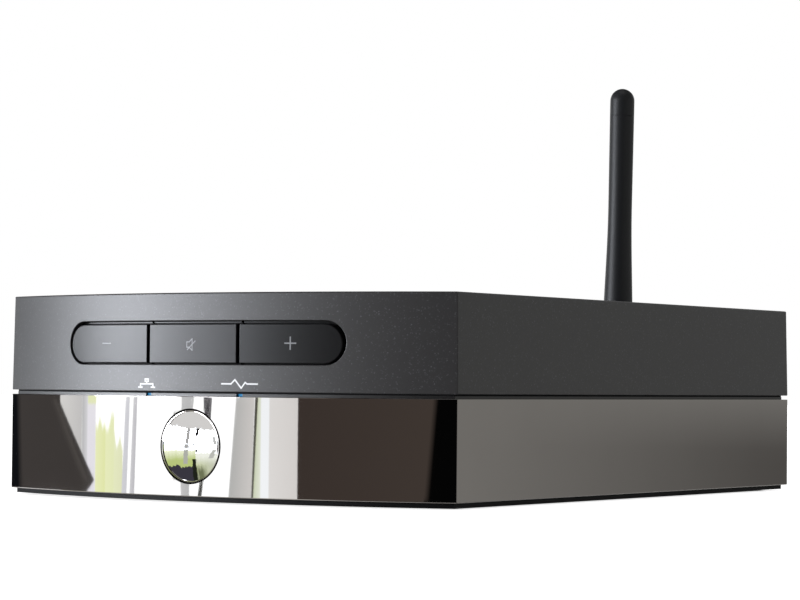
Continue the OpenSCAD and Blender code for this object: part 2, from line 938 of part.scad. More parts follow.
// Coaxial lead: up from the radio module, round a bend and back to the antenna socket
module antenna_lead() {
  z_start = z_module + lead_plug_h;
  color([0.12, 0.12, 0.12])
    union() {
      post(antenna_x, module_y, lead_r, z_start, z_antenna - lead_bend);
      translate([antenna_x, module_y + lead_bend, z_antenna - lead_bend])
        rotate([0, -90, 0])
          rotate([0, 0, -90])
            rotate_extrude(angle = 90)
              translate([lead_bend, 0]) circle(r = lead_r);
      rod(antenna_x, z_antenna, lead_r, module_y + lead_bend, y_panel_in - jack_tail);
    }
}

// Socket of a flat cable that leaves it to the rear, with facing 1, or to the front, with facing -1
module ribbon_socket(x, w, y, z, facing) {
  slot_h = ribbon_t + 2 * ribbon_clear;
  slot_d = ribbon_hold + 2 * ribbon_clear;
  mouth = facing > 0 ? y + ribbon_socket_d : y;
  difference() {
    block(
      x, w + 2 * ribbon_cheek,
      y, y + ribbon_socket_d,
      z - ribbon_socket_h / 2, z + ribbon_socket_h / 2
    );
    block(x, w + 2 * ribbon_clear, mouth - slot_d, mouth + slot_d, z - slot_h / 2, z + slot_h / 2);
  }
}

module ribbon_sockets() {
  color([0.85, 0.82, 0.75]) {
    ribbon_socket(key_ribbon_x, key_ribbon_w, y_key_ribbon, z_key_ribbon, 1);
    ribbon_socket(key_ribbon_x, key_ribbon_w, y_board_ribbon, z_board_ribbon, -1);
    ribbon_socket(0, standby_ribbon_w, y_standby_ribbon, z_board_ribbon, 1);
    ribbon_socket(0, standby_ribbon_w, y_board_ribbon, z_board_ribbon, -1);
  }
}

// Flat cable with straight ends, easing from one height to another
module ribbon(x, w, y0, y1, z0, z1) {
  steps = 12;
  ys = [for (i = [0:steps]) y0 + ribbon_hold + (y1 - y0 - 2 * ribbon_hold) * i / steps];
  zs = [for (i = [0:steps]) z0 + (z1 - z0) * (1 - cos(180 * i / steps)) / 2];
  lower = concat([[y0, z0]], [for (i = [0:steps]) [ys[i], zs[i]]], [[y1, z1]]);
  last = len(lower) - 1;
  translate([x - w / 2, 0, -ribbon_t / 2])
    rotate([90, 0, 90])
      linear_extrude(height = w)
        polygon(concat(lower, [for (i = [0:last]) lower[last - i] + [0, ribbon_t]]));
}

module key_ribbon() {
  color([0.85, 0.85, 0.85])
    ribbon(
      key_ribbon_x, key_ribbon_w,
      y_key_ribbon + ribbon_socket_d - ribbon_hold, y_board_ribbon + ribbon_hold,
      z_key_ribbon, z_board_ribbon
    );
}

module standby_ribbon() {
  color([0.85, 0.85, 0.85])
    ribbon(
      0, standby_ribbon_w,
      y_standby_ribbon + ribbon_socket_d - ribbon_hold, y_board_ribbon + ribbon_hold,
      z_board_ribbon, z_board_ribbon
    );
}

// Shielded network socket with a latch notch below its port
module lan_socket() {
  y_end = y_lan_mouth - lan_port_d;
  color([0.72, 0.72, 0.73])
    difference() {
      block(lan_x, lan_w, y_lan_mouth - lan_d, y_lan_mouth, z_board_top, z_board_top + lan_h);
      block(lan_x, lan_port_w, y_end, y_lan_mouth + cut, lan_port_z, lan_port_z + lan_port_h);
      block(lan_x, latch_w, y_end, y_lan_mouth + cut, lan_port_z - latch_h, lan_port_z + cut);
      block(lan_x, latch_tab_w, y_end, y_lan_mouth + cut, lan_port_z - latch_tab_h, lan_port_z + cut);
    }
}

// Moulded block that carries the three phono shells
module phono_block() {
  color([0.09, 0.09, 0.1])
    difference() {
      block(
        -phono_x, 3 * phono_pitch - 2 * phono_trim,
        y_panel_in - phono_block_d, y_panel_in,
        z_board_top, z_board_top + phono_block_h
      );
      at_phono() rod(0, phono_z, phono_base_r + run, y_panel_in - phono_seat, y_panel_in + cut);
    }
}

module phono_shells() {
  color([0.8, 0.78, 0.7])
    at_phono()
      difference() {
        union() {
          rod(0, phono_z, phono_base_r, y_panel_in - phono_seat, y_panel + phono_base_reach);
          rod(0, phono_z, phono_r, y_panel, y_panel + phono_reach);
        }
        rod(0, phono_z, phono_bore_r, y_panel_in - phono_seat - cut, y_panel + phono_reach + cut);
      }
}

module phono_inserts() {
  color([0.8, 0.2, 0.2])
    at_phono()
      difference() {
        rod(0, phono_z, phono_bore_r - run, y_panel_in - phono_seat, y_panel + phono_reach - insert_sink);
        rod(0, phono_z, phono_pin_r, y_panel - insert_floor, y_panel + phono_reach + cut);
      }
}

// Power socket with a round nose through the panel
module dc_socket() {
  color([0.09, 0.09, 0.1])
    difference() {
      union() {
        block(dc_x, dc_w, y_panel_in - dc_d, y_panel_in, z_board_top, z_board_top + dc_h);
        rod(dc_x, dc_z, dc_nose_r, y_panel_in - cut, y_dc_mouth);
      }
      rod(dc_x, dc_z, dc_bore_r, y_dc_mouth - dc_bore_d, y_dc_mouth + cut);
    }
}

module dc_pin() {
  color([0.8, 0.78, 0.7])
    rod(dc_x, dc_z, dc_pin_r, y_dc_mouth - dc_bore_d, y_dc_mouth - dc_pin_sink);
}

// Coaxial bulkhead socket: hexagon inside, threaded barrel outside
module antenna_socket() {
  color([0.8, 0.68, 0.35])
    difference() {
      union() {
        translate([antenna_x, y_panel_in - jack_hex_t, z_antenna])
          rotate([-90, 0, 0])
            cylinder(r = jack_hex_r, h = jack_hex_t, $fn = 6);
        rod(antenna_x, z_antenna, jack_r, y_panel_in - cut, y_panel + jack_reach);
        rod(antenna_x, z_antenna, jack_tail_r, y_panel_in - jack_tail, y_panel_in - jack_hex_t / 2);
      }
      rod(antenna_x, z_antenna, jack_bore_r, y_panel + jack_reach - jack_bore_d, y_panel + jack_reach + cut);
    }
}

module antenna_socket_nut() {
  color([0.8, 0.68, 0.35])
    difference() {
      translate([antenna_x, y_panel, z_antenna])
        rotate([-90, 0, 0])
          cylinder(r = jack_hex_r, h = panel_nut_t, $fn = 6);
      rod(antenna_x, z_antenna, jack_r + run, y_panel - cut, y_panel + panel_nut_t + cut);
    }
}

// Round boss along +Y from a given depth on the antenna's axis, with both end edges chamfered
module antenna_boss(y, r, l) {
  translate([antenna_x, y, z_antenna])
    rotate([-90, 0, 0])
      rotate_extrude()
        polygon([
          [0, 0], [r - end_chamfer, 0], [r, end_chamfer],
          [r, l - end_chamfer], [r - end_chamfer, l], [0, l]
        ]);
}

// Fluted nut that screws on the socket
module antenna_coupling() {
  bore_end = y_panel + jack_reach + coupling_seat;
  color([0.1, 0.1, 0.1])
    difference() {
      antenna_boss(y_coupling, coupling_r, coupling_l);
      for (i = [0:flute_count - 1])
        let (turn = 360 * i / flute_count)
          rod(
            antenna_x + coupling_r * cos(turn), z_antenna + coupling_r * sin(turn), flute_r,
            y_coupling - cut, y_coupling_end + cut
          );
      rod(antenna_x, z_antenna, jack_r + run, y_coupling - cut, bore_end);
      rod(antenna_x, z_antenna, spigot_r + run, bore_end - cut, y_coupling_end + cut);
    }
}

// Elbow: spigot in the coupling, collar and hinge tongue
module antenna_elbow() {
  color([0.1, 0.1, 0.1])
    difference() {
      union() {
        rod(antenna_x, z_antenna, spigot_r, y_panel + jack_reach + spigot_gap, y_collar + cut);
        antenna_boss(y_collar, whip_base_r, collar_l);
        block(
          antenna_x, tongue_t,
          y_collar + cut, y_hinge,
          z_antenna - tongue_h / 2, z_antenna + tongue_h / 2
        );
        translate([antenna_x - tongue_t / 2, y_hinge, z_antenna])
          rotate([0, 90, 0])
            cylinder(r = tongue_r, h = tongue_t);
      }
      translate([antenna_x - tongue_t, y_hinge, z_antenna])
        rotate([0, 90, 0])
          cylinder(r = hinge_pin_r + run, h = 2 * tongue_t);
    }
}

module at_hinge() {
  translate([antenna_x, y_hinge, z_antenna]) rotate([-whip_lean, 0, 0]) children();
}

module antenna_hinge_pin() {
  color([0.7, 0.7, 0.72])
    at_hinge()
      rotate([0, 90, 0])
        cylinder(r = hinge_pin_r, h = fork_w, center = true);
}

// Flared whip with a fork at its foot
module antenna_whip() {
  whip_start = fork_l + whip_neck;
  whip_end = whip_l - whip_cap_l;
  steps = 14;
  color([0.1, 0.1, 0.1])
    at_hinge()
      difference() {
        union() {
          rotate([0, 90, 0]) cylinder(r = whip_base_r, h = fork_w, center = true);
          translate([-fork_w / 2, -fork_w / 2, 0]) cube([fork_w, fork_w, whip_start + cut]);
          rotate_extrude()
            polygon(concat(
              [[0, whip_start]],
              [for (i = [0:steps]) let (s = whip_start + (whip_end - whip_start) * i / steps) [whip_r(s), s]],
              [[0, whip_end]]
            ));
        }
        translate([-fork_slot / 2, -2 * whip_base_r, -2 * whip_base_r])
          cube([fork_slot, 4 * whip_base_r, 2 * whip_base_r + fork_l]);
        rotate([0, 90, 0]) cylinder(r = hinge_pin_r, h = 4 * whip_base_r, center = true);
      }
}

// Rounded tip cap
module antenna_cap() {
  color([0.1, 0.1, 0.1])
    at_hinge()
      translate([0, 0, whip_l - whip_cap_l])
        rotate_extrude()
          intersection() {
            union() {
              translate([0, whip_cap_l - whip_tip_r]) circle(r = whip_tip_r);
              polygon([
                [0, 0], [whip_tip_r - cap_chamfer, 0], [whip_tip_r, cap_chamfer],
                [whip_tip_r, whip_cap_l - whip_tip_r], [0, whip_cap_l - whip_tip_r]
              ]);
            }
            square([whip_tip_r, whip_cap_l]);
          }
}

base_plate();
rubber_feet();
lower_case();
chassis_frame();
top_cover();
rear_panel();
case_screws();
panel_screws();
volume_down_key();
mute_key();
volume_up_key();
volume_down_plunger();
mute_plunger();
volume_up_plunger();
key_guide();
key_board();
key_switches();
key_board_screws();
standby_key();
standby_plunger();
standby_board();
standby_switch();
standby_screws();
net_light_pipe();
status_light_pipe();
indicator_leds();
main_board();
board_screws();
processor();
heatsink();
board_chips();
board_capacitors();
wireless_module();
ribbon_sockets();
key_ribbon();
standby_ribbon();
lan_socket();
phono_block();
phono_shells();
phono_inserts();
dc_socket();
dc_pin();
antenna_socket();
antenna_socket_nut();
antenna_lead();
antenna_coupling();
antenna_elbow();
antenna_hinge_pin();
antenna_whip();
antenna_cap();
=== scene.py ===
import json
import math

import bmesh
import bpy
from mathutils import Matrix, Vector, noise


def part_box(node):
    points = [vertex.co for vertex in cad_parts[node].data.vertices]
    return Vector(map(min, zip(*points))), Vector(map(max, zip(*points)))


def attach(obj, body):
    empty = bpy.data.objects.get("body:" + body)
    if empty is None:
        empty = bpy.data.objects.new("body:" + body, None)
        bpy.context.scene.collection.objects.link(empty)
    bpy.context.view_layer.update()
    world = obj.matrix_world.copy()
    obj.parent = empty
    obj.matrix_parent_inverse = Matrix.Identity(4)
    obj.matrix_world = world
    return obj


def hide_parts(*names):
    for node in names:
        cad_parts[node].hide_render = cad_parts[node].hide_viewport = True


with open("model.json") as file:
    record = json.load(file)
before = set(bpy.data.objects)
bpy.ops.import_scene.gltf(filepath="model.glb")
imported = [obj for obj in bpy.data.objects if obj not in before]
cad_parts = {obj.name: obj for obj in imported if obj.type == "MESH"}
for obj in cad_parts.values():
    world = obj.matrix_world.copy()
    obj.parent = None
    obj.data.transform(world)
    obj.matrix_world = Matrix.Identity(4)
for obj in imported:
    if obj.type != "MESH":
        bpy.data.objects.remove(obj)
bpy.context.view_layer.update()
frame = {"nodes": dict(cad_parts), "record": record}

# Camera: a long lens at the height of the case, to the right of its front and turned up a little.
# Places are in millimetres in the object's own frame, and the picture is 800 by 600 pixels.
mm = 0.001
camera_place = Vector((460.1, -718.0, 32.3))
camera_turn = math.radians(33.25)
camera_pitch = math.radians(1.70)
camera_roll = math.radians(0.525)
camera_lens = 127.2
film_width = 36.0
nearest = 0.01

ahead = Vector((
    -math.sin(camera_turn) * math.cos(camera_pitch),
    math.cos(camera_turn) * math.cos(camera_pitch),
    math.sin(camera_pitch),
))
level = Vector((math.cos(camera_turn), math.sin(camera_turn), 0))
upward = level.cross(ahead)
right = math.cos(camera_roll) * level + math.sin(camera_roll) * upward
above = right.cross(ahead)
facing = Matrix((right, above, -ahead)).transposed().to_4x4()
camera_data = bpy.data.cameras.new("camera")
camera_data.lens = camera_lens
camera_data.sensor_width = film_width
camera_data.clip_start = nearest
camera = bpy.data.objects.new("camera", camera_data)
bpy.context.scene.collection.objects.link(camera)
camera.matrix_world = Matrix.Translation(camera_place * mm) @ facing
bpy.context.scene.camera = camera
bpy.context.scene.view_settings.view_transform = "Standard"


# Studio: a pale floor that keeps the object's shadow, an even white surround and a softbox to the left of
# the front. The other cards are plain flags that only polished and satin surfaces see.
def linear(code):
    """Linear colour of an sRGB hex value."""
    parts = [int(code[i:i + 2], 16) / 255 for i in (1, 3, 5)]
    return [p / 12.92 if p <= 0.04045 else ((p + 0.055) / 1.055) ** 2.4 for p in parts] + [1.0]


def add_node(tree, kind, inputs=None, **settings):
    """Adds a node with its settings, and sets or links its inputs."""
    made = tree.nodes.new(kind)
    for name, value in settings.items():
        setattr(made, name, value)
    for name, value in (inputs or {}).items():
        if isinstance(value, bpy.types.NodeSocket):
            tree.links.new(value, made.inputs[name])
        else:
            made.inputs[name].default_value = value
    return made


# The surround is white to the camera and in mirrors. Its light is dimmer, with more from above and behind.
ambient = 0.28
ambient_top = 1.1
top_start = 0.65
top_full = 0.8
ambient_rear = 0.9
rear_start = 0.5
rear_full = 0.95
world = bpy.data.worlds.new("white_surround")
bpy.context.scene.world = world
world.use_nodes = True
tree = world.node_tree
tree.nodes.clear()
rays = add_node(tree, "ShaderNodeLightPath").outputs
shown = rays["Is Camera Ray"]
for kind in ("Is Glossy Ray", "Is Transmission Ray"):
    shown = add_node(tree, "ShaderNodeMath", {0: shown, 1: rays[kind]}, operation="MAXIMUM").outputs[0]
around = add_node(tree, "ShaderNodeTexCoord").outputs["Generated"]
way = add_node(tree, "ShaderNodeSeparateXYZ", {0: around}).outputs
top = add_node(tree, "ShaderNodeMapRange", {
    0: way["Z"], 1: top_start, 2: top_full, 3: ambient, 4: ambient + ambient_top,
})
rear = add_node(tree, "ShaderNodeMapRange", {
    0: way["Y"], 1: rear_start, 2: rear_full, 3: 0.0, 4: ambient_rear,
})
fill = add_node(tree, "ShaderNodeMath", {0: top.outputs[0], 1: rear.outputs[0]})
strength = add_node(tree, "ShaderNodeMapRange", {0: shown, 3: fill.outputs[0], 4: 1.0}).outputs[0]
surround = add_node(tree, "ShaderNodeBackground", {"Color": linear("#ffffff"), "Strength": strength})
add_node(tree, "ShaderNodeOutputWorld", {"Surface": surround.outputs[0]})


def new_material(name):
    """Empty node material and its tree."""
    material = bpy.data.materials.new(name)
    material.use_nodes = True
    material.node_tree.nodes.clear()
    return material, material.node_tree


def new_object(name, bm):
    """Object with the shape of a bmesh, which is used up."""
    mesh = bpy.data.meshes.new(name)
    bm.to_mesh(mesh)
    bm.free()
    made = bpy.data.objects.new(name, mesh)
    bpy.context.scene.collection.objects.link(made)
    return made


def add_floor(name, bm, glow_level):
    """Sheet of pale paper that mirrors don't see, with a glow that only the camera sees."""
    sheet = new_object(name, bm)
    paper, tree = new_material("pale_paper_" + name)
    rays = add_node(tree, "ShaderNodeLightPath").outputs
    dull = add_node(tree, "ShaderNodeBsdfDiffuse", {"Color": linear("#cccccc")})
    glow = add_node(tree, "ShaderNodeMath", {0: rays["Is Camera Ray"], 1: glow_level}, operation="MULTIPLY")
    lift = add_node(tree, "ShaderNodeEmission", {"Color": linear("#ffffff"), "Strength": glow.outputs[0]})
    both = add_node(tree, "ShaderNodeAddShader", {0: dull.outputs[0], 1: lift.outputs[0]})
    add_node(tree, "ShaderNodeOutputMaterial", {"Surface": both.outputs[0]})
    sheet.data.materials.append(paper)
    sheet.visible_glossy = False


floor_half = 4.0
floor_glow = 0.8
bm = bmesh.new()
bmesh.ops.create_grid(bm, x_segments=2, y_segments=2, size=floor_half)
add_floor("floor", bm, glow_level=floor_glow)

# The paper below the base has no glow, so that the dark line under the case stays. Its sizes are in metres.
plate_low, plate_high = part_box("base_plate")
shade_front = 0.0072
shade_side = 0.0035
shade_rise = 0.00002
shade_bow_r = 0.2
bm = bmesh.new()
bmesh.ops.create_grid(bm, x_segments=24, y_segments=1, size=0.5)
for v in bm.verts:
    v.co.x *= plate_high.x - plate_low.x - 2 * shade_side
    bow = shade_bow_r - math.sqrt(shade_bow_r ** 2 - v.co.x ** 2)
    v.co.y = plate_low.y + shade_front + bow if v.co.y < 0 else plate_high.y - shade_side
    v.co.z = shade_rise
add_floor("floor_below", bm, glow_level=0.0)

# Tints of the two mirrors that see the cards: the lower case and the standby disc.
dark_mirror = "#9c9793"
bright_mirror = "#e6e6e7"
card_centre_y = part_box("lower_case")[0].y
waves_per_degree = 1.7


def add_card(
    name, start, end, low, high, shade, mirror=dark_mirror, strength=1.0, fade=(0, 0, 0, 0), ragged=0.0,
    lamp=False, solid=False, reach=1.5,
):
    """Bent card round the front, between two bearings in degrees and two heights in metres.

    A bearing may be a pair for the lower and upper edge, and a shade a pair for the left and right side.
    The shade is what a mirror of the given tint shows. The fades are soft widths at the left, right, lower
    and upper side. The ragged upper edge and the reach from the front are in metres.
    """
    starts, ends, shades = (v if isinstance(v, tuple) else (v, v) for v in (start, end, shade))
    bm = bmesh.new()
    bmesh.ops.create_grid(bm, x_segments=48, y_segments=12, size=0.5)
    cover = bm.verts.layers.float.new("cover")
    across = bm.verts.layers.float.new("across")
    for v in bm.verts:
        u = v.co.x + 0.5
        w = v.co.y + 0.5
        left, right = (side[0] + (side[1] - side[0]) * w for side in (starts, ends))
        bearing = left + (right - left) * u
        height = low + (high - low) * w
        gaps = (bearing - left, right - bearing, height - low, high - height)
        v[cover] = math.prod(min(1, gap / width) for gap, width in zip(gaps, fade) if width)
        v[across] = u
        height += ragged * w * noise.noise(Vector((waves_per_degree * bearing, 0.5, 0)))
        turn = math.radians(bearing)
        v.co = (reach * math.sin(turn), card_centre_y - reach * math.cos(turn), height)
    card = new_object(name, bm)
    material, tree = new_material(name)
    side, other = ([c / p for c, p in zip(linear(s), linear(mirror))] for s in shades)
    place = add_node(tree, "ShaderNodeAttribute", attribute_name="across").outputs["Fac"]
    body = add_node(tree, "ShaderNodeAttribute", attribute_name="cover").outputs["Fac"]
    tone = add_node(tree, "ShaderNodeMix", {"Factor": place, 6: side, 7: other}, data_type="RGBA")
    light = add_node(tree, "ShaderNodeEmission", {"Color": tone.outputs["Result"], "Strength": strength})
    clear = add_node(tree, "ShaderNodeBsdfTransparent")
    blend = add_node(tree, "ShaderNodeMixShader", {0: body, 1: clear.outputs[0], 2: light.outputs[0]})
    add_node(tree, "ShaderNodeOutputMaterial", {"Surface": blend.outputs[0]})
    material.cycles.emission_sampling = "AUTO" if lamp else "NONE"
    card.data.materials.append(material)
    card.visible_camera = False
    card.visible_shadow = solid
    card.visible_diffuse = lamp
    card.visible_transmission = False


def add_disc_card(name, start, end, low, high, shade, **looks):
    """Card for the standby disc, whose dome mirrors more of the surroundings than the lower case does."""
    add_card(name, start, end, low, high, shade, mirror=bright_mirror, **looks)


# The softbox is the only lamp. A white field hangs behind the narrow cards.
add_card(
    "softbox", -60.5, -27, 0.03, 0.25, ("#f3f7ff", "#9a9ca2"),
    mirror="#ffffff", strength=70, lamp=True, reach=1.62,
)
add_card("white_field", -84, -15, -0.35, 0.34, "#ffffff", strength=1.1, reach=1.66)
# Dark flags above and below all others.
add_card("overhead_flag", -180, 180, 0.95, 6.0, "#242424", reach=2.0)
add_card("underfoot_flag", -15, 180, -6.0, -0.64, "#1c1a1a", reach=2.0)
# Dark flags for the left end of the front.
add_card("left_flag", -100, (-60.4, -70.3), -0.046, 0.016, "#3b3735")
add_card("left_flag_top", -100, -70.2, 0.016, 0.95, "#3b3735")
add_card("left_flag_foot", -100, (-63.5, -60.4), -0.06, -0.046, "#3b3735")
add_card(
    "left_fold", (-64.0, -73.2), (-61.6, -71.0), -0.046, 0.018, "#46423f", fade=(1.2, 0.6, 0, 0), reach=1.49
)
add_card("left_edge_flag", -100, (-81.4, -83.2), -0.06, 0.05, "#0e0f12", fade=(0, 1.8, 0, 0), reach=1.48)
add_card("left_edge_flag_top", -100, -83.6, 0.05, 0.95, "#06060a", reach=1.48)
# Narrow cards that the front mirrors, from left to right.
add_card("pale_card", -74, -63.9, -0.06, 0.05, ("#dad8d3", "#bfbdbc"), reach=1.54)
add_card("pale_fold", (-63.8, -63.9), -62.4, -0.06, 0.05, ("#b4b4b4", "#d2d1d4"), reach=1.54)
add_card("lavender_card", -62.4, -60.2, -0.06, 0.05, "#e2dfe5", reach=1.54)
add_card("lime_patch", -62.3, -60.1, 0.0142, 0.024, "#dfe4b4", reach=1.53)
soft_top = (0, 0, 0, 0.006)
add_card("lime_left", -60.2, -57.6, -0.08, 0.004, ("#e6eab9", "#dfe4a8"), ragged=0.008, fade=soft_top)
add_card("lime_middle", -57.6, -55.4, -0.08, 0.004, ("#e6eabb", "#e2e7b8"), ragged=0.014, fade=soft_top)
add_card("lime_right", -55.4, -53.2, -0.08, -0.010, ("#e4e8c0", "#dee1bb"), ragged=0.012, fade=soft_top)
add_card("bar_1", (-53.5, -52.5), (-52.2, -51.5), -0.066, 0.024, ("#d0d0d5", "#cacace"))
add_card("bar_2", (-51.5, -50.6), (-50.3, -49.7), -0.066, 0.024, ("#cecdd0", "#b8b7bb"))
add_card("bar_3", -39.4, (-37.2, -36.3), 0.008, 0.024, ("#bfbfbf", "#b4b4b4"))
add_card("bar_3_foot", -39.35, -37.5, -0.066, -0.045, ("#c4c3c3", "#b6b6b6"))
add_card("dark_strip", (-34.3, -34.6), (-33.1, -32.5), 0.0, 0.024, "#343235")
add_card("dark_strip_foot", (-35.8, -34.95), (-34.95, -34.3), -0.066, -0.04, "#454541")
add_card("bar_4", (-29.2, -27.6), (-24.3, -23.7), -0.066, 0.024, ("#aeaeac", "#cac6c3"), fade=(0.2, 0, 0, 0))
add_card("seam", (-24.3, -23.6), (-23.9, -23.0), -0.066, 0.024, "#4c4a42")
add_card("pale_green_card", (-23.9, -23.0), -22.4, -0.066, 0.024, ("#c9cfb4", "#dfe2d3"))
add_card("bluish_card", -22.4, -20.7, -0.066, 0.024, "#f0f2f4")
add_card("grey_card", -20.7, -15.0, -0.066, 0.024, ("#dad7d4", "#d2cecb"))
# Dark flags for the right end of the front and for the right side.
add_card("brown_flag", -15.0, 12.5, -0.40, 0.95, ("#38302c", "#3e3631"), reach=1.52)
add_card("dark_flag", (8.9, 10.6), 60, -0.06, 0.03, "#040404", fade=(0.6, 0, 0, 0))
add_card("dark_flag_top", 10.6, 60, 0.03, 0.95, "#040404")
add_card("dark_flag_foot", 8.9, 60, -0.40, -0.06, "#040404")
add_card("right_flag", 60, 178, -0.40, 0.95, "#6a6763", reach=1.52)
add_card("right_shade", 146, 178, -0.11, 0.033, "#464340", fade=(9, 0, 0, 0.05))
# Cards that only the standby disc mirrors.
add_disc_card("dome_top", -56, -10, 0.95, 0.24, "#cfcdcb", ragged=0.03)
add_disc_card("dome_bar", (-40.9, -39.8), (-37.1, -36.1), 0.024, 0.25, "#a8a7a6", solid=True)
add_disc_card("dome_bar_middle", -41.2, -37.1, -0.045, 0.008, "#a8a7a6", solid=True)
add_disc_card("dome_bar_foot", (-43.0, -41.6), (-39.3, -37.8), -0.27, -0.066, "#adaea6")
add_disc_card("dome_line", (-32.2, -32.4), (-29.8, -29.6), 0.13, 0.25, "#2c2b2a", solid=True)
add_disc_card("dome_line_dot", -31.4, -29.7, 0.03, 0.055, "#4a4a4c", solid=True)
add_disc_card("dome_line_middle", -31.9, -30.4, -0.105, -0.068, "#39383b")
add_disc_card("dome_line_foot", (-37.0, -34.6), (-33.0, -31.8), -0.54, -0.20, "#1f231a", reach=1.48)
add_disc_card(
    "dome_side", (-18.0, -19.4), (-14.8, -16.4), 0.024, 0.15, "#bcbcba", fade=(0.8, 0.4, 0, 0), ragged=0.03
)
add_disc_card(
    "dome_side_foot", (-22.4, -19.0), (-17.6, -15.0), -0.20, -0.066, "#b9bab4", fade=(0.8, 0.8, 0, 0)
)
add_disc_card("dome_dark", -70, -46, -0.64, -0.28, "#38363f", ragged=0.02, reach=1.505)
add_disc_card(
    "dome_dark_right", -46, -31, -0.64, -0.312, "#38363f", fade=(0, 2.5, 0, 0), ragged=0.02, reach=1.51
)
add_disc_card("dome_green", -70, -32, -0.45, -0.09, "#b6c47c", fade=(0, 0, 0, 0.12), ragged=0.02, reach=1.52)
add_disc_card("dome_haze", -70, -32, -0.45, -0.075, "#edf1d4", ragged=0.01, reach=1.525)
add_disc_card("dome_olive", -32, -23, -0.64, -0.30, "#6d7355", fade=(1, 5, 0, 0.1), ragged=0.04, reach=1.528)
add_disc_card(
    "dome_right", -33, -10, -0.64, -0.17, ("#c3cb9f", "#c4c5bd"),
    fade=(0, 0, 0, 0.14), ragged=0.02, reach=1.53,
)
add_disc_card("dome_haze_right", -33, -10, -0.64, -0.12, "#eff1e6", ragged=0.02, reach=1.535)


# Base plate: the black moulded tray under the case, with air slots, pillars and the recessed case screws.
# Injection-moulded ABS with a fine spark-eroded grain, so it is dark and dull with a soft sheen.
def per_mm(size):
    """Texture scale that gives a pattern about this many millimetres across."""
    return 1 / (size * mm)


def grained(name, dark, pale, roughness, grain, depth, cloud=18.0, spread=0.06, sheen=0.5, metallic=0.0):
    """Moulded, painted or plated finish: two near shades in soft clouds, and a fine grain in bump and gloss.

    The grain, its depth and the clouds are in millimetres. The sheen is the specular level.
    """
    material, tree = new_material(name)
    place = add_node(tree, "ShaderNodeTexCoord").outputs["Object"]
    clouds = add_node(tree, "ShaderNodeTexNoise", {"Vector": place, "Scale": per_mm(cloud), "Detail": 3.0})
    grit = add_node(tree, "ShaderNodeTexNoise", {"Vector": place, "Scale": per_mm(grain), "Detail": 2.0})
    shade = add_node(
        tree, "ShaderNodeMix",
        {"Factor": clouds.outputs[0], 6: linear(dark), 7: linear(pale)},
        data_type="RGBA",
    )
    gloss = add_node(
        tree, "ShaderNodeMapRange", {0: grit.outputs[0], 3: roughness - spread, 4: roughness + spread}
    )
    bump = add_node(
        tree, "ShaderNodeBump",
        {"Strength": 1.0, "Distance": depth * mm, "Height": grit.outputs[0]},
    )
    shader = add_node(tree, "ShaderNodeBsdfPrincipled", {
        "Base Color": shade.outputs["Result"], "Roughness": gloss.outputs[0], "Normal": bump.outputs[0],
        "Specular IOR Level": sheen, "Metallic": metallic,
    })
    add_node(tree, "ShaderNodeOutputMaterial", {"Surface": shader.outputs[0]})
    return material


def dress(material, *nodes):
    """Gives carried-over CAD nodes a finish."""
    for name in nodes:
        finishes = frame["nodes"][name].data.materials
        finishes.clear()
        finishes.append(material)


# ABS moulding: near black, a dull spark-eroded grain of about half a millimetre.
black_abs = grained(
    "moulded_black_abs", "#060607", "#0a0a0b", roughness=0.55, grain=0.5, depth=0.012, sheen=0.11
)
dress(black_abs, "base_plate")


# Feet: four thin discs of moulded rubber, glued into round seats under the base.
# Rubber: matt, a little paler than the base, with faint clouding from handling.
black_rubber = grained("moulded_black_rubber", "#161616", "#202020", roughness=0.75, grain=0.8, depth=0.02)
dress(black_rubber, "rubber_feet")


# Boards and cables: the main board lies on the base, and the key and standby boards stand behind the front.
# Glass-fibre boards with soldered parts, held by small screws and joined by flat cables.
# Zinc plate on steel: bright grey with a slight satin haze.
zinc = grained(
    "zinc_plated_steel", "#a9abad", "#bcbec0", roughness=0.32, grain=0.7, depth=0.004, metallic=1.0
)
dress(zinc, "board_screws", "key_board_screws", "standby_screws")
# Solder mask: deep green and glossy, a little cloudy over the copper.
mask = grained("green_solder_mask", "#0d4a2a", "#125634", roughness=0.3, grain=1.2, depth=0.006)
dress(mask, "main_board", "key_board", "standby_board")
# Chip epoxy: dark grey and matt.
epoxy = grained("moulded_chip_epoxy", "#161617", "#1e1e20", roughness=0.55, grain=0.4, depth=0.008)
dress(epoxy, "processor", "board_chips", "board_capacitors")
# Extruded aluminium: pale grey with a soft satin shine.
alloy = grained(
    "extruded_aluminium", "#a7a8aa", "#b5b6b8", roughness=0.35, grain=0.8, depth=0.006, metallic=1.0
)
dress(alloy, "heatsink")
# Tinned steel: pale and shiny, with broad soft stains from the rolling.
stamped = grained(
    "stamped_tinned_steel", "#b4b6b8", "#c6c8ca", roughness=0.28, grain=1.5, depth=0.004, metallic=1.0
)
dress(stamped, "key_switches", "standby_switch", "wireless_module")
# Switch nylon: dark grey with a dull shine.
switch_nylon = grained("moulded_switch_nylon", "#202020", "#282828", roughness=0.5, grain=0.6, depth=0.01)
dress(switch_nylon, "volume_down_plunger", "mute_plunger", "volume_up_plunger", "standby_plunger")
# Polyester cable: off-white and satin.
cable = grained("white_polyester_cable", "#cfcfc9", "#dcdcd6", roughness=0.45, grain=1.0, depth=0.006)
dress(cable, "ribbon_sockets", "key_ribbon", "standby_ribbon")
# Epoxy of the lights: milky white and shiny.
lens = grained("white_led_epoxy", "#d8d8cc", "#e4e4da", roughness=0.25, grain=0.6, depth=0.004)
dress(lens, "indicator_leds")
dress(black_rubber, "antenna_lead")
dress(black_abs, "key_guide")


# Network socket: a black moulded housing in a folded tin-plated shield, soldered to the rear of the board.
# Eight gilt spring contacts hang into the port from above, and the notch for the plug's latch lies below.
slots = {part["node"]: part["material_slot"] for part in frame["record"]["subparts"]}


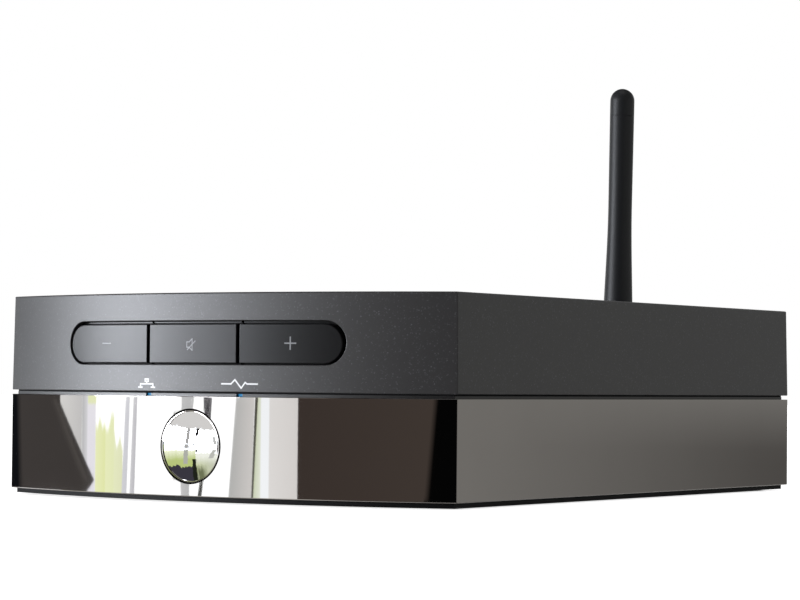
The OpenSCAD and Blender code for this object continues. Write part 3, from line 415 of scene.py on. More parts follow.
def box_of(node):
    """Lowest and highest corner of a CAD node, in millimetres."""
    return [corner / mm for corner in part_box(node)]


def mm_cube(low, high):
    """Block between two corners."""
    bm = bmesh.new()
    bmesh.ops.create_cube(bm, size=1)
    low, high = Vector(low), Vector(high)
    bmesh.ops.scale(bm, vec=high - low, verts=bm.verts)
    bmesh.ops.translate(bm, vec=(low + high) / 2, verts=bm.verts)
    return bm


def round_edges(bm, chosen, radius, segments=4):
    """Rounds the edges that a test picks by their two ends."""
    edges = [e for e in bm.edges if chosen(e.verts[0].co, e.verts[1].co)]
    bmesh.ops.bevel(
        bm, geom=edges, offset=radius, segments=segments, profile=0.5, affect="EDGES", material=-1,
        offset_type="OFFSET", clamp_overlap=False,
    )


def combine(bm, other, operation="DIFFERENCE"):
    """Cuts another shape out of a piece, or joins it on, and returns the piece as a new mesh."""
    made = [new_object("shape", shape) for shape in (bm, other)]
    change = made[0].modifiers.new("change", "BOOLEAN")
    change.object = made[1]
    change.operation = operation
    change.solver = "EXACT"
    result = bmesh.new()
    result.from_object(made[0], bpy.context.evaluated_depsgraph_get())
    for shape in made:
        bpy.data.meshes.remove(shape.data)
    return result


def join(bm, part, finish=0):
    """Adds a separate part to a piece, with the piece's finish of that number."""
    for face in part.faces:
        face.material_index = finish
    mesh = bpy.data.meshes.new("part")
    part.to_mesh(mesh)
    part.free()
    bm.from_mesh(mesh)
    bpy.data.meshes.remove(mesh)


crease = math.radians(35)


def add_piece(name, bm, finishes, body, slot, *nodes):
    """Finished piece in metres, smooth except at creases and marked edges, and tied to its body."""
    bmesh.ops.scale(bm, vec=(mm, mm, mm), verts=bm.verts)
    marked = [i for i, edge in enumerate(bm.edges) if not edge.smooth]
    piece = new_object(name, bm)
    for finish in finishes if isinstance(finishes, tuple) else (finishes,):
        piece.data.materials.append(finish)
    piece.data.shade_smooth()
    piece.data.set_sharp_from_angle(angle=crease)
    for i in marked:
        piece.data.edges[i].use_edge_sharp = True
    even = piece.modifiers.new("even_normals", "WEIGHTED_NORMAL")
    even.keep_sharp = True
    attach(piece, body)
    if nodes:
        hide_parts(*nodes)


# Points nearer to each other than touch count as one, and cutters reach past what they cut.
touch = 1e-4
past = 2.0
lan_low, lan_high = box_of("lan_socket")
lan_x = (lan_low.x + lan_high.x) / 2
shield_t = 0.3
shield_r = 0.4
port_h = 8.2
port_d = 15.0
port_rise = 4.0
port_low = lan_low.z + port_rise
port_steps = ((11.8, 0), (6.2, 1.6), (3.4, 2.8))
mouth_in = 0.2
inset = Vector((shield_t, shield_t, shield_t))
bm = mm_cube(lan_low, lan_high)
round_edges(bm, lambda a, b: abs(a.y - b.y) > touch, shield_r, segments=3)
bm = combine(bm, mm_cube(lan_low + inset, lan_high - inset + Vector((0, past, 0))))
add_piece("network_shield", bm, stamped, "chassis", slots["lan_socket"], "lan_socket")

bm = mm_cube(lan_low + inset, lan_high - Vector((shield_t, mouth_in, shield_t)))
for width, drop in port_steps:
    bm = combine(bm, mm_cube(
        (lan_x - width / 2, lan_high.y - port_d, port_low - drop),
        (lan_x + width / 2, lan_high.y + past, port_low + port_h),
    ))
add_piece("network_housing", bm, black_abs, "chassis", "black_plastic")

contacts = 8
contact_pitch = 1.02
contact_half = 0.23
contact_t = 0.2
contact_l = 9.5
contact_edge_r = 0.08
contact_lean = math.radians(17)
contact_root = 1.5
contact_drop = 3.4
contact_y = lan_high.y - port_d + contact_root
contact_z = port_low + port_h - contact_drop
# Gold plate on brass: warm yellow, smooth and shiny.
gold = grained("gold_plated_brass", "#c9a04e", "#d4ae5f", roughness=0.2, grain=0.8, depth=0.003, metallic=1.0)
bm = bmesh.new()
for i in range(contacts):
    x = lan_x + (i - (contacts - 1) / 2) * contact_pitch
    part = mm_cube((-contact_half, 0, 0), (contact_half, contact_l, contact_t))
    round_edges(
        part, lambda a, b: min(a.y, b.y) > contact_l - touch and abs(a.x - b.x) > touch,
        contact_edge_r, segments=2,
    )
    bmesh.ops.rotate(part, cent=(0, 0, 0), matrix=Matrix.Rotation(contact_lean, 3, "X"), verts=part.verts)
    bmesh.ops.translate(part, vec=(x, contact_y, contact_z), verts=part.verts)
    join(bm, part)
add_piece("network_contacts", bm, gold, "chassis", "gold_plate")


# Phono sockets and power inlet: three turned and nickel-plated shells in one moulded block, and a moulded
# inlet with a plated pin, all soldered to the board. The colours of the nylon inserts tell their use.
def lathe(outline, steps=64):
    """Turns an outline of radius and height about Z."""
    bm = bmesh.new()
    verts = [bm.verts.new((r, 0, z)) for r, z in outline]
    edges = [bm.edges.new(pair) for pair in zip(verts, verts[1:])]
    bmesh.ops.spin(
        bm, geom=verts + edges, cent=(0, 0, 0), axis=(0, 0, 1), angle=math.tau, steps=steps, use_merge=True
    )
    bmesh.ops.remove_doubles(bm, verts=bm.verts, dist=touch)
    bmesh.ops.recalc_face_normals(bm, faces=bm.faces)
    return bm


def run_rear(bm, x, y, z):
    """Turns a lathed piece so that its axis runs to the rear from a place."""
    bmesh.ops.rotate(bm, cent=(0, 0, 0), matrix=Matrix.Rotation(-math.pi / 2, 3, "X"), verts=bm.verts)
    bmesh.ops.translate(bm, vec=(x, y, z), verts=bm.verts)
    return bm


# Nickel plate on brass: a warm pale mirror with a faint turned haze.
nickel = grained(
    "nickel_plated_brass", "#cfc8bb", "#d9d3c7", roughness=0.16, grain=1.0, depth=0.002, metallic=1.0
)
# Moulded nylon: strong even colours with a low gloss.
orange_nylon = grained("moulded_orange_nylon", "#c4641a", "#cf6e22", roughness=0.4, grain=0.7, depth=0.008)
white_nylon = grained("moulded_white_nylon", "#d6d5d0", "#e0dfdb", roughness=0.4, grain=0.7, depth=0.008)
red_nylon = grained("moulded_red_nylon", "#96191b", "#a52224", roughness=0.4, grain=0.7, depth=0.008)
shell_low, shell_high = box_of("phono_shells")
insert_low, insert_high = box_of("phono_inserts")
phono_z = (shell_low.z + shell_high.z) / 2
phono_x = (shell_low.x + shell_high.x) / 2
phono_pitch = 14.0
phono_edge = 0.15
collar_r = (shell_high.z - shell_low.z) / 2
shell_r = 4.15
shell_l = shell_high.y - shell_low.y
barrel_l = 8.5
collar_l = shell_l - barrel_l
bore_r = 3.6
bore_edge = 0.1
shell_round = ((0, 0.4), (0.1, 0.12), (0.3, 0))
insert_l = insert_high.y - insert_low.y
insert_r = (insert_high.z - insert_low.z) / 2
pin_bore_r = 1.65
pin_bore_d = 10.4
pin_bore_edge = 0.25
shell_outline = [
    (bore_r, 0), (collar_r, 0), (collar_r, collar_l - phono_edge), (collar_r - phono_edge, collar_l),
    (shell_r, collar_l), *((shell_r - inward, shell_l - back) for inward, back in shell_round),
    (bore_r + bore_edge, shell_l), (bore_r, shell_l - bore_edge), (bore_r, 0),
]
insert_outline = [
    (0, 0), (insert_r, 0), (insert_r, insert_l - phono_edge), (insert_r - phono_edge, insert_l),
    (pin_bore_r + pin_bore_edge, insert_l), (pin_bore_r, insert_l - pin_bore_edge),
    (pin_bore_r, insert_l - pin_bore_d), (0, insert_l - pin_bore_d),
]
shells = bmesh.new()
inserts = bmesh.new()
for i, offset in enumerate((-phono_pitch, 0, phono_pitch)):
    x = phono_x + offset
    join(shells, run_rear(lathe(shell_outline), x, shell_low.y, phono_z))
    join(inserts, run_rear(lathe(insert_outline), x, insert_low.y, phono_z), i)
add_piece("phono_shell_set", shells, nickel, "chassis", slots["phono_shells"], "phono_shells")
add_piece(
    "phono_insert_set", inserts, (orange_nylon, white_nylon, red_nylon), "chassis",
    slots["phono_inserts"], "phono_inserts",
)
dress(black_abs, "phono_block", "dc_socket")
dress(nickel, "dc_pin")


# Rear panel: a folded sheet of steel between the shells, with holes for the sockets and two screws.
# Powder-coated black. The antenna's gilt coaxial socket is held in it by a hexagon nut.
# Powder coat: dark grey and dull, with a slight orange-peel.
panel_coat = grained("black_powder_coat", "#232325", "#2b2b2d", roughness=0.55, grain=0.9, depth=0.03)
dress(panel_coat, "rear_panel")
dress(zinc, "panel_screws")
dress(gold, "antenna_socket", "antenna_socket_nut")


# Lower case: a bowed band of ABS, plated with dark chromium over polished nickel.
# The bow is drawn straight, cut into narrow upright strips and then laid on its radius.
def draw_out(bm, face):
    """Extrudes a face, and returns the vertices and the face of its new end."""
    drawn = bmesh.ops.extrude_face_region(bm, geom=[face])["geom"]
    verts = [g for g in drawn if isinstance(g, bmesh.types.BMVert)]
    return verts, [g for g in drawn if isinstance(g, bmesh.types.BMFace)][0]


def upright_strip(x_out, y_out, y_end, width, low, high):
    """Strip on edge along the left side, the front and the right side."""
    x_in = x_out - width
    y_in = y_out + width
    bm = bmesh.new()
    outline = [
        (-x_out, y_end), (-x_out, y_out), (x_out, y_out), (x_out, y_end),
        (x_in, y_end), (x_in, y_in), (-x_in, y_in), (-x_in, y_end),
    ]
    foot = bm.faces.new([bm.verts.new((x, y, low)) for x, y in outline])
    bmesh.ops.translate(bm, vec=(0, 0, high - low), verts=draw_out(bm, foot)[0])
    bmesh.ops.recalc_face_normals(bm, faces=bm.faces)
    return bm


def cut_plane(bm, place, normal):
    """Cuts new edges where a plane crosses a piece."""
    bmesh.ops.bisect_plane(
        bm, geom=bm.verts[:] + bm.edges[:] + bm.faces[:], dist=1e-5, plane_co=place, plane_no=normal
    )


band_low, band_high = box_of("lower_case")
half_w = band_high.x
y_apex = band_low.y
y_rear = band_high.y
bow_r = 200.0
front_zone = 30.0


def bow_depth(x):
    """How far the bowed front lies behind its apex."""
    return bow_r - math.sqrt(bow_r ** 2 - x ** 2)


def lay_on_bow(bm, strip=1.0):
    """Cuts a straight piece into upright strips and lays its front on the bow."""
    left = min(v.co.x for v in bm.verts)
    width = max(v.co.x for v in bm.verts) - left
    strips = max(2, round(width / strip))
    for i in range(1, strips):
        cut_plane(bm, (left + width * i / strips, 0, 0), (1, 0, 0))
    for v in bm.verts:
        if v.co.y < y_apex + front_zone:
            v.co.y += bow_depth(v.co.x)
    return bm


wall = 2.2
corner_r = 0.22
band_top_r = 0.15
band_foot_r = 0.2
hole_r = 10.0
hole_chamfer = 0.08
hole_edge_r = hole_r + hole_chamfer
hole_steps = 128
edge_line = 0.02
z_standby = (band_low.z + band_high.z) / 2


def at_outside(place):
    """Whether a point of the straight band lies on its outer face."""
    return abs(place.x) > half_w - wall / 2 or place.y < y_apex + wall / 2


bm = upright_strip(half_w, y_apex, y_rear, wall, band_low.z, band_high.z)
round_edges(
    bm,
    lambda a, b: abs(a.z - b.z) > touch and a.y < y_apex + wall / 2 and abs(a.x) > half_w - wall / 2,
    corner_r,
)
for edge_z, edge_r in ((band_high.z, band_top_r), (band_low.z, band_foot_r)):
    round_edges(
        bm,
        lambda a, b: abs(a.z - edge_z) + abs(b.z - edge_z) < touch and min(a.y, b.y) < y_rear - wall / 2
        and at_outside(a) and at_outside(b),
        edge_r,
    )
hole = lathe([
    (0, -past), (hole_edge_r, -past), (hole_edge_r, 0),
    (hole_r, hole_chamfer), (hole_r, wall + past), (0, wall + past),
], hole_steps)
bm = combine(bm, run_rear(hole, 0, y_apex, z_standby))
for face in bm.faces:
    if all(math.hypot(v.co.x, v.co.z - z_standby) < hole_edge_r + edge_line for v in face.verts):
        face.material_index = 1
for line_z in (band_low.z + band_foot_r + edge_line, band_high.z - band_top_r - edge_line):
    cut_plane(bm, (0, 0, line_z), (0, 0, 1))

# Dark chromium: a tinted mirror with hardly any haze, and the faintest smears from handling.
dark_chrome, tree = new_material("dark_chromium_plate")
place = add_node(tree, "ShaderNodeTexCoord").outputs["Object"]
smears = add_node(tree, "ShaderNodeTexNoise", {"Vector": place, "Scale": per_mm(25), "Detail": 4.0})
haze = add_node(tree, "ShaderNodeMapRange", {0: smears.outputs[0], 3: 0.012, 4: 0.04})
tint = add_node(
    tree, "ShaderNodeMix",
    {"Factor": smears.outputs[0], 6: linear("#999490"), 7: linear("#9f9a96")},
    data_type="RGBA",
)
shader = add_node(tree, "ShaderNodeBsdfPrincipled", {
    "Metallic": 1.0, "Base Color": tint.outputs["Result"], "Roughness": haze.outputs[0],
})
add_node(tree, "ShaderNodeOutputMaterial", {"Surface": shader.outputs[0]})
add_piece(
    "lower_case_band", lay_on_bow(bm), (dark_chrome, black_abs), "chassis", slots["lower_case"], "lower_case"
)


# Standby key: a domed disc of bright chromium plate in the round hole of the lower case.
# The plated cap, its retaining flange and its stem are one moulding that slides on the switch behind it.
disc_low, disc_high = box_of("standby_key")
dome_r = 47.0
disc_r = 9.62
rim_r = 0.06
lip_w = 0.22
lip_rise = 0.24
lip_step = 0.08
lip_fall = 0.01
flange_r = 11.3
flange_in = 2.67
flange_t = 1.2
stem_r = 2.5
dome_edge_r = disc_r - rim_r - lip_w - lip_step
dome_rings = 24
# Depths are measured from the crown of the dome.
flange_depth = y_apex + flange_in - disc_low.y
stem_depth = disc_high.y - disc_low.y
dome_radii = [dome_edge_r * i / dome_rings for i in range(dome_rings + 1)]
dome = [(r, dome_r - math.sqrt(dome_r ** 2 - r ** 2)) for r in dome_radii]
lip_depth = dome[-1][1] - lip_rise
lip = [(dome_edge_r + lip_step, lip_depth)]
rim_turns = [math.radians(a) for a in (0, 30, 60, 90)]
rim = [
    (disc_r - rim_r + rim_r * math.sin(a), lip_depth + lip_fall + rim_r * (1 - math.cos(a)))
    for a in rim_turns
]
bm = lathe(dome + lip + rim + [
    (disc_r, flange_depth), (flange_r, flange_depth), (flange_r, flange_depth + flange_t),
    (stem_r, flange_depth + flange_t), (stem_r, stem_depth), (0, stem_depth),
], hole_steps)
for face in bm.faces:
    if max(v.co.z for v in face.verts) > flange_depth - touch:
        face.material_index = 1
    elif max(math.hypot(v.co.x, v.co.y) for v in face.verts) > dome_edge_r + touch:
        face.material_index = 2

# Bright chromium: a clean mirror with a slight fine ripple from plating over a moulding.
bright_chrome, tree = new_material("bright_chromium_plate")
place = add_node(tree, "ShaderNodeTexCoord").outputs["Object"]
peel = add_node(tree, "ShaderNodeTexNoise", {"Vector": place, "Scale": per_mm(0.5), "Detail": 1.0})
wave = add_node(tree, "ShaderNodeBump", {"Strength": 1.0, "Distance": 0.0026 * mm, "Height": peel.outputs[0]})
mist = add_node(tree, "ShaderNodeMapRange", {0: peel.outputs[0], 3: 0.004, 4: 0.02})
shader = add_node(tree, "ShaderNodeBsdfPrincipled", {
    "Metallic": 1.0, "Base Color": linear(bright_mirror),
    "Roughness": mist.outputs[0], "Normal": wave.outputs[0],
})
add_node(tree, "ShaderNodeOutputMaterial", {"Surface": shader.outputs[0]})
add_piece(
    "standby_disc", run_rear(bm, 0, disc_low.y, z_standby), (bright_chrome, black_abs, dark_chrome),
    "standby", slots["standby_key"], "standby_key",
)


# Frame: the narrow ring between the two shells that shows in the shadow gap, clamped by the case screws.
# Moulded ABS in a darker paint than the cover's. A dark foam strip in the seam above it is painted shadow.
# Dark satin paint, near black in part as painted shade of the recessed gap, with more sheen than the cover,
# so it lights up only where it mirrors a lamp.
frame_paint_and_shade = grained(
    "dark_satin_paint_and_painted_shade", "#0d0c0c", "#110f10", roughness=0.42, grain=0.4, depth=0.015, sheen=0.7
)
dress(frame_paint_and_shade, "chassis_frame")
# Painted shadow: dull, very dark grey foam rubber with fine open pores, laid where the cover's edge casts its
# shadow.
shadow_foam = grained("painted_shadow_foam_rubber", "#1c1c1d", "#222223", roughness=0.8, grain=0.3, depth=0.03, sheen=0.1)
frame_low, frame_high = box_of("chassis_frame")
cover_low, cover_high = box_of("top_cover")
shadow_strip_h = 0.45
shadow_strip_in = 0.15
shadow_strip_w = 0.75
bm = upright_strip(
    frame_high.x - shadow_strip_in, frame_low.y + shadow_strip_in, frame_high.y, shadow_strip_w, cover_low.z - shadow_strip_h, cover_low.z
)
add_piece("seam_shadow_strip", lay_on_bow(bm), shadow_foam, "chassis", slots["rubber_feet"])


# Light pipes: two clear bars in the frame that bring the board's lights to the shadow gap, both lit blue.
# Moulded acrylic, polished at the ends, so the ends glow evenly.
# Lit acrylic: saturated blue light with a clear gloss over it.
lit_pipe, tree = new_material("lit_blue_acrylic")
place = add_node(tree, "ShaderNodeTexCoord").outputs["Object"]
swirl = add_node(tree, "ShaderNodeTexNoise", {"Vector": place, "Scale": per_mm(1.5), "Detail": 1.0})
glow = add_node(tree, "ShaderNodeMapRange", {0: swirl.outputs[0], 3: 0.7, 4: 0.9})
shader = add_node(tree, "ShaderNodeBsdfPrincipled", {
    "Base Color": linear("#06283c"), "Roughness": 0.4, "IOR": 1.49, "Specular IOR Level": 0.2,
    "Emission Color": linear("#1b83bd"), "Emission Strength": glow.outputs[0],
})
add_node(tree, "ShaderNodeOutputMaterial", {"Surface": shader.outputs[0]})
pipe_edge_r = 0.12
pipe_clear = 0.05
for name in ("net_light_pipe", "status_light_pipe"):
    pipe_low, pipe_high = box_of(name)
    bm = mm_cube(pipe_low, (pipe_high.x, pipe_high.y, cover_low.z - pipe_clear))
    round_edges(bm, lambda a, b: max(a.y, b.y) < pipe_low.y + touch, pipe_edge_r, segments=3)
    add_piece(name + "_bar", bm, lit_pipe, "chassis", slots[name], name)


# Top cover: a moulded lid with slightly leaning walls, a rounded upper edge and a long opening for the keys.
# Sprayed with a fine satin paint. The small points of light on its grain are painted glints in its colour.
draft = 0.4
top_edge_r = 0.4
lower_edge_r = 0.2
opening_w = 92.6
opening_h = 11.7
opening_rise = 13.1
opening_r = 0.2
opening_steps = 4
# A bevel of the full half height would meet itself.
bevel_spare = 0.005
z_keys = cover_low.z + opening_rise
cover_lean = draft / (cover_high.z - cover_low.z)
opening_front = y_apex + cover_lean * opening_rise
opening_axis = (opening_w - opening_h) / 2


def from_axis(place):
    """Way to a point from the middle line of the opening."""
    return Vector((place.x - max(-opening_axis, min(opening_axis, place.x)), 0, place.z - z_keys))


bm = mm_cube((-half_w, y_apex, cover_low.z), (half_w, y_rear, cover_high.z))
for v in bm.verts:
    if v.co.z > z_keys:
        v.co.x -= math.copysign(draft, v.co.x)
        v.co.y += draft if v.co.y < 0 else -draft
round_edges(bm, lambda a, b: min(a.z, b.z) > z_keys, top_edge_r, segments=5)
round_edges(bm, lambda a, b: abs(a.z - b.z) > wall and max(a.y, b.y) < 0, corner_r)
round_edges(bm, lambda a, b: max(a.z, b.z) < cover_low.z + touch, lower_edge_r, segments=3)
bm = combine(bm, mm_cube(
    (wall - half_w, y_apex + wall, cover_low.z - past), (half_w - wall, y_rear + past, cover_high.z - wall),
))
# The cutter widens in small steps towards the front, which rounds the edge of the opening.
cutter = mm_cube(
    (-opening_w / 2, opening_front + opening_r, z_keys - opening_h / 2),
    (opening_w / 2, y_apex + wall + past, z_keys + opening_h / 2),
)
round_edges(cutter, lambda a, b: abs(a.y - b.y) > touch, opening_h / 2 - bevel_spare, segments=24)
mouth = min(cutter.faces, key=lambda f: f.calc_center_median().y)
turns = [math.pi / 2 * i / opening_steps for i in range(opening_steps + 1)]
steps = [
    (opening_r * (math.sin(b) - math.sin(a)), opening_r * (math.cos(a) - math.cos(b)))
    for a, b in zip(turns, turns[1:])
]
for forward, outward in steps + [(past, 0.0)]:
    verts, drawn_mouth = draw_out(cutter, mouth)
    bmesh.ops.delete(cutter, geom=[mouth], context="FACES")
    for v in verts:
        v.co += outward * from_axis(v.co).normalized() - Vector((0, forward, 0))
    mouth = drawn_mouth
for v in cutter.verts:
    if v.co.y < opening_front + wall / 2:
        v.co.y += cover_lean * (v.co.z - z_keys)
bmesh.ops.recalc_face_normals(cutter, faces=cutter.faces)
bm = combine(bm, cutter)
for edge in bm.edges:
    at_rim = [abs(from_axis(v.co).length - opening_h / 2 - opening_r) < edge_line for v in edge.verts]
    at_front = [v.co.y < opening_front + opening_r / 2 for v in edge.verts]
    edge.smooth = not all(at_rim + at_front)
for line_z in (cover_low.z + lower_edge_r + edge_line, cover_high.z - top_edge_r - edge_line):
    cut_plane(bm, (0, 0, line_z), (0, 0, 1))

# Satin paint: dark warm grey, soft broad sheen, a fine grain, and bright points painted into its colour as
# glints.
# The real grain is a few hundredths of a millimetre and is drawn coarser here so that it shows.
satin_paint, tree = new_material("satin_grey_paint")
place = add_node(tree, "ShaderNodeTexCoord").outputs["Object"]
grain = add_node(tree, "ShaderNodeTexNoise", {"Vector": place, "Scale": per_mm(0.4), "Detail": 2.0})
# Painted glints: small cells of a brighter colour that stand for the grain's points of light.
glint_cells = add_node(tree, "ShaderNodeTexVoronoi", {"Vector": place, "Scale": per_mm(0.3)})
painted_glints = add_node(tree, "ShaderNodeMapRange", {0: glint_cells.outputs["Color"], 1: 0.8, 2: 1.0})
clouds = add_node(tree, "ShaderNodeTexNoise", {"Vector": place, "Scale": per_mm(30), "Detail": 2.0})
ground = add_node(
    tree, "ShaderNodeMix",
    {"Factor": clouds.outputs[0], 6: linear("#2d2c2d"), 7: linear("#313030")},
    data_type="RGBA",
)
shade = add_node(
    tree, "ShaderNodeMix",
    {"Factor": painted_glints.outputs[0], 6: ground.outputs["Result"], 7: linear("#525356")},
    data_type="RGBA",
)
gloss = add_node(tree, "ShaderNodeMapRange", {0: grain.outputs[0], 3: 0.37, 4: 0.47})
bump = add_node(tree, "ShaderNodeBump", {"Strength": 1.0, "Distance": 0.015 * mm, "Height": grain.outputs[0]})
shader = add_node(tree, "ShaderNodeBsdfPrincipled", {
    "Base Color": shade.outputs["Result"], "Roughness": gloss.outputs[0],
    "Normal": bump.outputs[0], "IOR": 1.5,
})
add_node(tree, "ShaderNodeOutputMaterial", {"Surface": shader.outputs[0]})
add_piece("top_cover_shell", lay_on_bow(bm), satin_paint, "chassis", slots["top_cover"], "top_cover")


# Keys: minus, mute and plus, three bowed caps that fill the opening with a narrow gap between them.
# Moulded ABS with a smoother satin paint than the cover, each with a retaining flange and a stem behind it.
# The gap is widest above, where a slot and a painted ridge lie behind it.
key_pitch = 30.0
key_gap = 0.9
key_play = 0.4
key_play_top = 0.87
key_play_end = 0.95
key_sink = 0.15
pad_edge_r = 0.22
flange_lip = 1.3
flange_gap = 0.15
stem_half = 2.5
slot_h = 0.36
slot_d = 0.8
ridge_h = 0.27
front_facing = -0.9
key_front = y_apex + key_sink
flange_front = y_apex + wall + flange_gap
flange_rear = flange_front + flange_t
pad_low = z_keys - opening_h / 2 + key_play
pad_high = z_keys + opening_h / 2 - key_play_top
ridge_low = pad_high + slot_h
ridge_high = ridge_low + ridge_h
inner_x = (key_pitch - key_gap) / 2
outer_x = (key_pitch + key_gap) / 2
pad_end = opening_w / 2 - key_play_end
flange_end = opening_w / 2 + flange_lip
# Smooth satin paint: a darker grey than the cover, hardly any grain and a tighter sheen.
key_paint = grained(
    "smooth_satin_grey_paint", "#09090b", "#0b0b0d", roughness=0.32, grain=0.8, depth=0.002, spread=0.03,
    sheen=0.215,
)
keys = [
    ("volume_down", -pad_end, -outer_x, -flange_end, -outer_x),
    ("mute", -inner_x, inner_x, -inner_x, inner_x),
    ("volume_up", outer_x, pad_end, outer_x, flange_end),
]
for name, pad_left, pad_right, flange_left, flange_right in keys:
    bm = mm_cube((pad_left, key_front, pad_low), (pad_right, flange_front, pad_high))
    if name != "mute":
        end = max(pad_left, pad_right, key=abs)
        round_edges(
            bm, lambda a, b: abs(a.x - end) + abs(b.x - end) < touch and abs(a.y - b.y) > touch,
            (pad_high - pad_low) / 2 - bevel_spare, segments=20,
        )
    round_edges(bm, lambda a, b: max(a.y, b.y) < key_front + touch, pad_edge_r)
    for edge in bm.edges:
        edge.smooth = max(v.co.y for v in edge.verts) > key_front + touch
    flange = combine(
        mm_cube(
            (flange_left, flange_front, z_keys - opening_h / 2 - flange_lip),
            (flange_right, flange_rear, z_keys + opening_h / 2 + flange_lip),
        ),
        mm_cube(
            (flange_left - past, flange_front - past, pad_high),
            (flange_right + past, flange_front + slot_d, ridge_low),
        ),
    )
    cut_plane(flange, (0, 0, ridge_high), (0, 0, 1))
    join(bm, flange, 1)
    for face in bm.faces:
        at_ridge = all(ridge_low - touch < v.co.z < ridge_high + touch for v in face.verts)
        if at_ridge and face.normal.y < front_facing:
            face.material_index = 0
    middle = (pad_left + pad_right) / 2
    stem_end = box_of(name + "_key")[1].y - bow_depth(middle)
    join(bm, mm_cube(
        (middle - stem_half, flange_rear, z_keys - stem_half),
        (middle + stem_half, stem_end, z_keys + stem_half),
    ), 1)
    add_piece(
        name + "_cap", lay_on_bow(bm), (key_paint, black_abs), name, slots[name + "_key"], name + "_key"
    )


# Printed signs: minus, crossed speaker and plus on the keys, and two small signs above the lights.
# Pad-printed ink, a few hundredths of a millimetre thick, that follows the bowed surface.
ink_t = 0.02
ink_step = 0.001
ink_strip = 0.4


def print_sign(name, body, place, lines, width, ink, front=key_front, lean=0.0):
    """Thin bars between points measured from the sign's place on the front, which may lean back."""
    bm = bmesh.new()
    for i, (x0, z0, x1, z1) in enumerate(lines):
        run = Vector((x1 - x0, z1 - z0))
        bar = mm_cube(
            (-width / 2, -ink_t - ink_step * i, -width / 2), (run.length + width / 2, ink_t, width / 2)
        )
        turn = Matrix.Rotation(-math.atan2(run.y, run.x), 3, "Y")
        bmesh.ops.rotate(bar, cent=(0, 0, 0), matrix=turn, verts=bar.verts)
        bmesh.ops.translate(bar, vec=(place[0] + x0, front, place[1] + z0), verts=bar.verts)
        join(bm, bar)
    lay_on_bow(bm, ink_strip)
    for v in bm.verts:
        v.co.y += lean * (v.co.z - cover_low.z)
    add_piece(name, bm, ink, body, "ribbon_white")


# Grey ink: even and dull, a little worn on the keys.
key_ink = grained(
    "pad_printed_grey_ink", "#7e7f82", "#868789", roughness=0.45, grain=0.3, depth=0.002, cloud=3.0
)
minus_lines = [(-1.55, 0, 1.55, 0)]
plus_lines = [(-1.55, 0, 1.55, 0), (0, -1.55, 0, 1.55)]
speaker_lines = [
    (-1.5, 0.7, -1.5, -0.7), (-1.5, 0.7, -0.7, 0.7), (-1.5, -0.7, -0.7, -0.7), (-0.7, 0.7, 0.3, 1.55),
    (0.3, 1.55, 0.3, -1.55), (0.3, -1.55, -0.7, -0.7), (-1.3, -1.35, 1.25, 0.9),
]
print_sign("minus_sign", "volume_down", (-30.92, 42.68), minus_lines, width=0.3, ink=key_ink)
print_sign("plus_sign", "volume_up", (30.72, 42.68), plus_lines, width=0.36, ink=key_ink)
print_sign("mute_sign", "mute", (0, 42.3), speaker_lines, width=0.27, ink=key_ink)
# White ink: bright, even and dull.
label_ink = grained(
    "pad_printed_white_ink", "#e9e9ea", "#f2f2f2", roughness=0.5, grain=0.3, depth=0.002, cloud=3.0
)
link_lines = [
    (-0.6, 2.2, 0.6, 2.2), (-0.6, 1.6, 0.6, 1.6), (-0.6, 2.2, -0.6, 1.6), (0.6, 2.2, 0.6, 1.6),
    (0, 1.6, 0, 0.9), (-2.3, 0.9, 2.3, 0.9), (-2.3, 0.9, -2.3, 0), (2.3, 0.9, 2.3, 0),
    (-2.9, 0, -1.7, 0), (1.7, 0, 2.9, 0),
]
pulse_points = [(-5.5, 0), (-2.6, 0), (-1.4, 1.1), (0.6, -1.1), (1.8, 0.4), (2.4, 0), (5.5, 0)]
pulse_lines = [(*start, *end) for start, end in zip(pulse_points, pulse_points[1:])]
on_cover = {"width": 0.4, "ink": label_ink, "front": y_apex, "lean": cover_lean}
print_sign("network_sign", "chassis", (-15.3, 30.8), link_lines, **on_cover)
print_sign("activity_sign", "chassis", (15.7, 31.9), pulse_lines, **on_cover)


# Case screws: four long cross-head screws from below, through the base and the frame into the cover.
# Zinc-plated steel, their heads sunk in round recesses of the base.
screw_low, screw_high = box_of("case_screws")
screw_l = screw_high.z - screw_low.z
screw_steps = 32
head_r = 2.8
head_h = 1.8
head_round = ((1.9, 0), (2.5, 0.2), (head_r, 0.7))
shank_r = 1.45
point_r = 0.5
point_l = 1.2
cross_half = 1.7
cross_w = 0.42
cross_d = 1.1
screw = lathe([
    (0, 0), *head_round, (head_r, head_h), (shank_r, head_h), (shank_r, screw_l - point_l),
    (point_r, screw_l), (0, screw_l),
], screw_steps)
screw = combine(screw, mm_cube((-cross_half, -cross_w, -past), (cross_half, cross_w, cross_d)))
screw = combine(screw, mm_cube((-cross_w, -cross_half, -past), (cross_w, cross_half, cross_d)))
bm = bmesh.new()
for x in (screw_low.x + head_r, screw_high.x - head_r):
    for y in (screw_low.y + head_r, screw_high.y - head_r):
        part = screw.copy()
        bmesh.ops.translate(part, vec=(x, y, screw_low.z), verts=part.verts)
        join(bm, part)
screw.free()
add_piece("case_screw_set", bm, zinc, "chassis", slots["case_screws"], "case_screws")


# Antenna coupling and elbow: the fluted nut that screws on the socket, and the elbow that swivels in it.
# Both are moulded in the same satin rubber-like plastic as the whip, with a steel pin as the hinge.
# Satin thermoplastic rubber: black, soft long highlight, very fine drag marks.
whip_rubber = grained(
    "satin_thermoplastic_rubber", "#1b1c1e", "#202123", roughness=0.46, grain=0.5, depth=0.006, spread=0.05,
    sheen=0.28,
)
dress(whip_rubber, "antenna_elbow", "antenna_coupling")
dress(zinc, "antenna_hinge_pin")


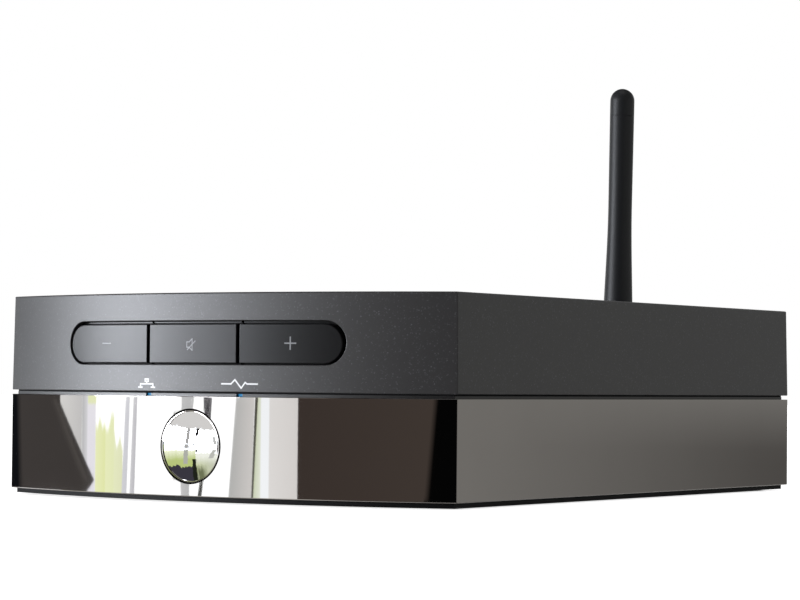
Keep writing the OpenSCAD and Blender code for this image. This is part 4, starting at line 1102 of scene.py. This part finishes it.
# Whip: a flared rod with a fork at its foot that folds on the hinge pin, and a rounded cap at its tip.
# Thermoplastic rubber moulded over the wire; a fine groove parts the cap from the rod.
pin_low, pin_high = box_of("antenna_hinge_pin")
hinge = (pin_low + pin_high) / 2
pin_r = 1.2
whip_lean = math.radians(1.7)
whip_base_r = 5.0
whip_waist_r = 3.95
whip_tip_r = 4.05
whip_l = 86.0
cap_l = 9.3
flare_l = 46.0
fork_half = 4.6
fork_edge_r = 0.8
fork_slot_half = 2.3
fork_l = 5.2
whip_start = 7.2
whip_overlap = 1.0
whip_end = whip_l - cap_l
groove = 0.08
rod_steps = 40


def whip_r(s):
    """Radius of the rod at a distance from its hinge."""
    if s < flare_l:
        return whip_waist_r + (whip_base_r - whip_waist_r) * (1 + math.cos(math.pi * s / flare_l)) / 2
    return whip_waist_r + (whip_tip_r - whip_waist_r) * (s - flare_l) / (whip_end - flare_l)


def stand_up(bm):
    """Leans a piece of the whip and sets it on the hinge."""
    bmesh.ops.rotate(bm, cent=(0, 0, 0), matrix=Matrix.Rotation(-whip_lean, 3, "X"), verts=bm.verts)
    bmesh.ops.translate(bm, vec=hinge, verts=bm.verts)
    return bm


def hinge_roller(radius, half):
    """Round bar on the hinge's own axis."""
    bm = lathe([(0, -half), (radius, -half), (radius, half), (0, half)])
    bmesh.ops.rotate(bm, cent=(0, 0, 0), matrix=Matrix.Rotation(math.pi / 2, 3, "Y"), verts=bm.verts)
    return bm


rod_l = whip_end - groove - whip_start
stations = [whip_start + rod_l * i / rod_steps for i in range(rod_steps + 1)]
rod = lathe(
    [(0, whip_start)] + [(whip_r(s), s) for s in stations] + [(whip_tip_r - groove, whip_end), (0, whip_end)]
)
fork = mm_cube((-fork_half, -fork_half, 0), (fork_half, fork_half, whip_start + whip_overlap))
round_edges(fork, lambda a, b: abs(a.z - b.z) > touch, fork_edge_r)
bm = combine(combine(rod, fork, "UNION"), hinge_roller(whip_base_r, fork_half), "UNION")
slot_reach = whip_base_r + past
bm = combine(bm, mm_cube((-fork_slot_half, -slot_reach, -slot_reach), (fork_slot_half, slot_reach, fork_l)))
bm = combine(bm, hinge_roller(pin_r, fork_half + past))
add_piece("antenna_rod", stand_up(bm), whip_rubber, "antenna_arm", slots["antenna_whip"], "antenna_whip")
tip_turns = [math.radians(a) for a in range(0, 91, 6)]
bm = lathe(
    [(0, whip_end), (whip_tip_r - groove, whip_end), (whip_tip_r, whip_end + groove)]
    + [(whip_tip_r * math.cos(a), whip_l - whip_tip_r + whip_tip_r * math.sin(a)) for a in tip_turns]
)
add_piece("antenna_tip", stand_up(bm), whip_rubber, "antenna_arm", slots["antenna_cap"], "antenna_cap")
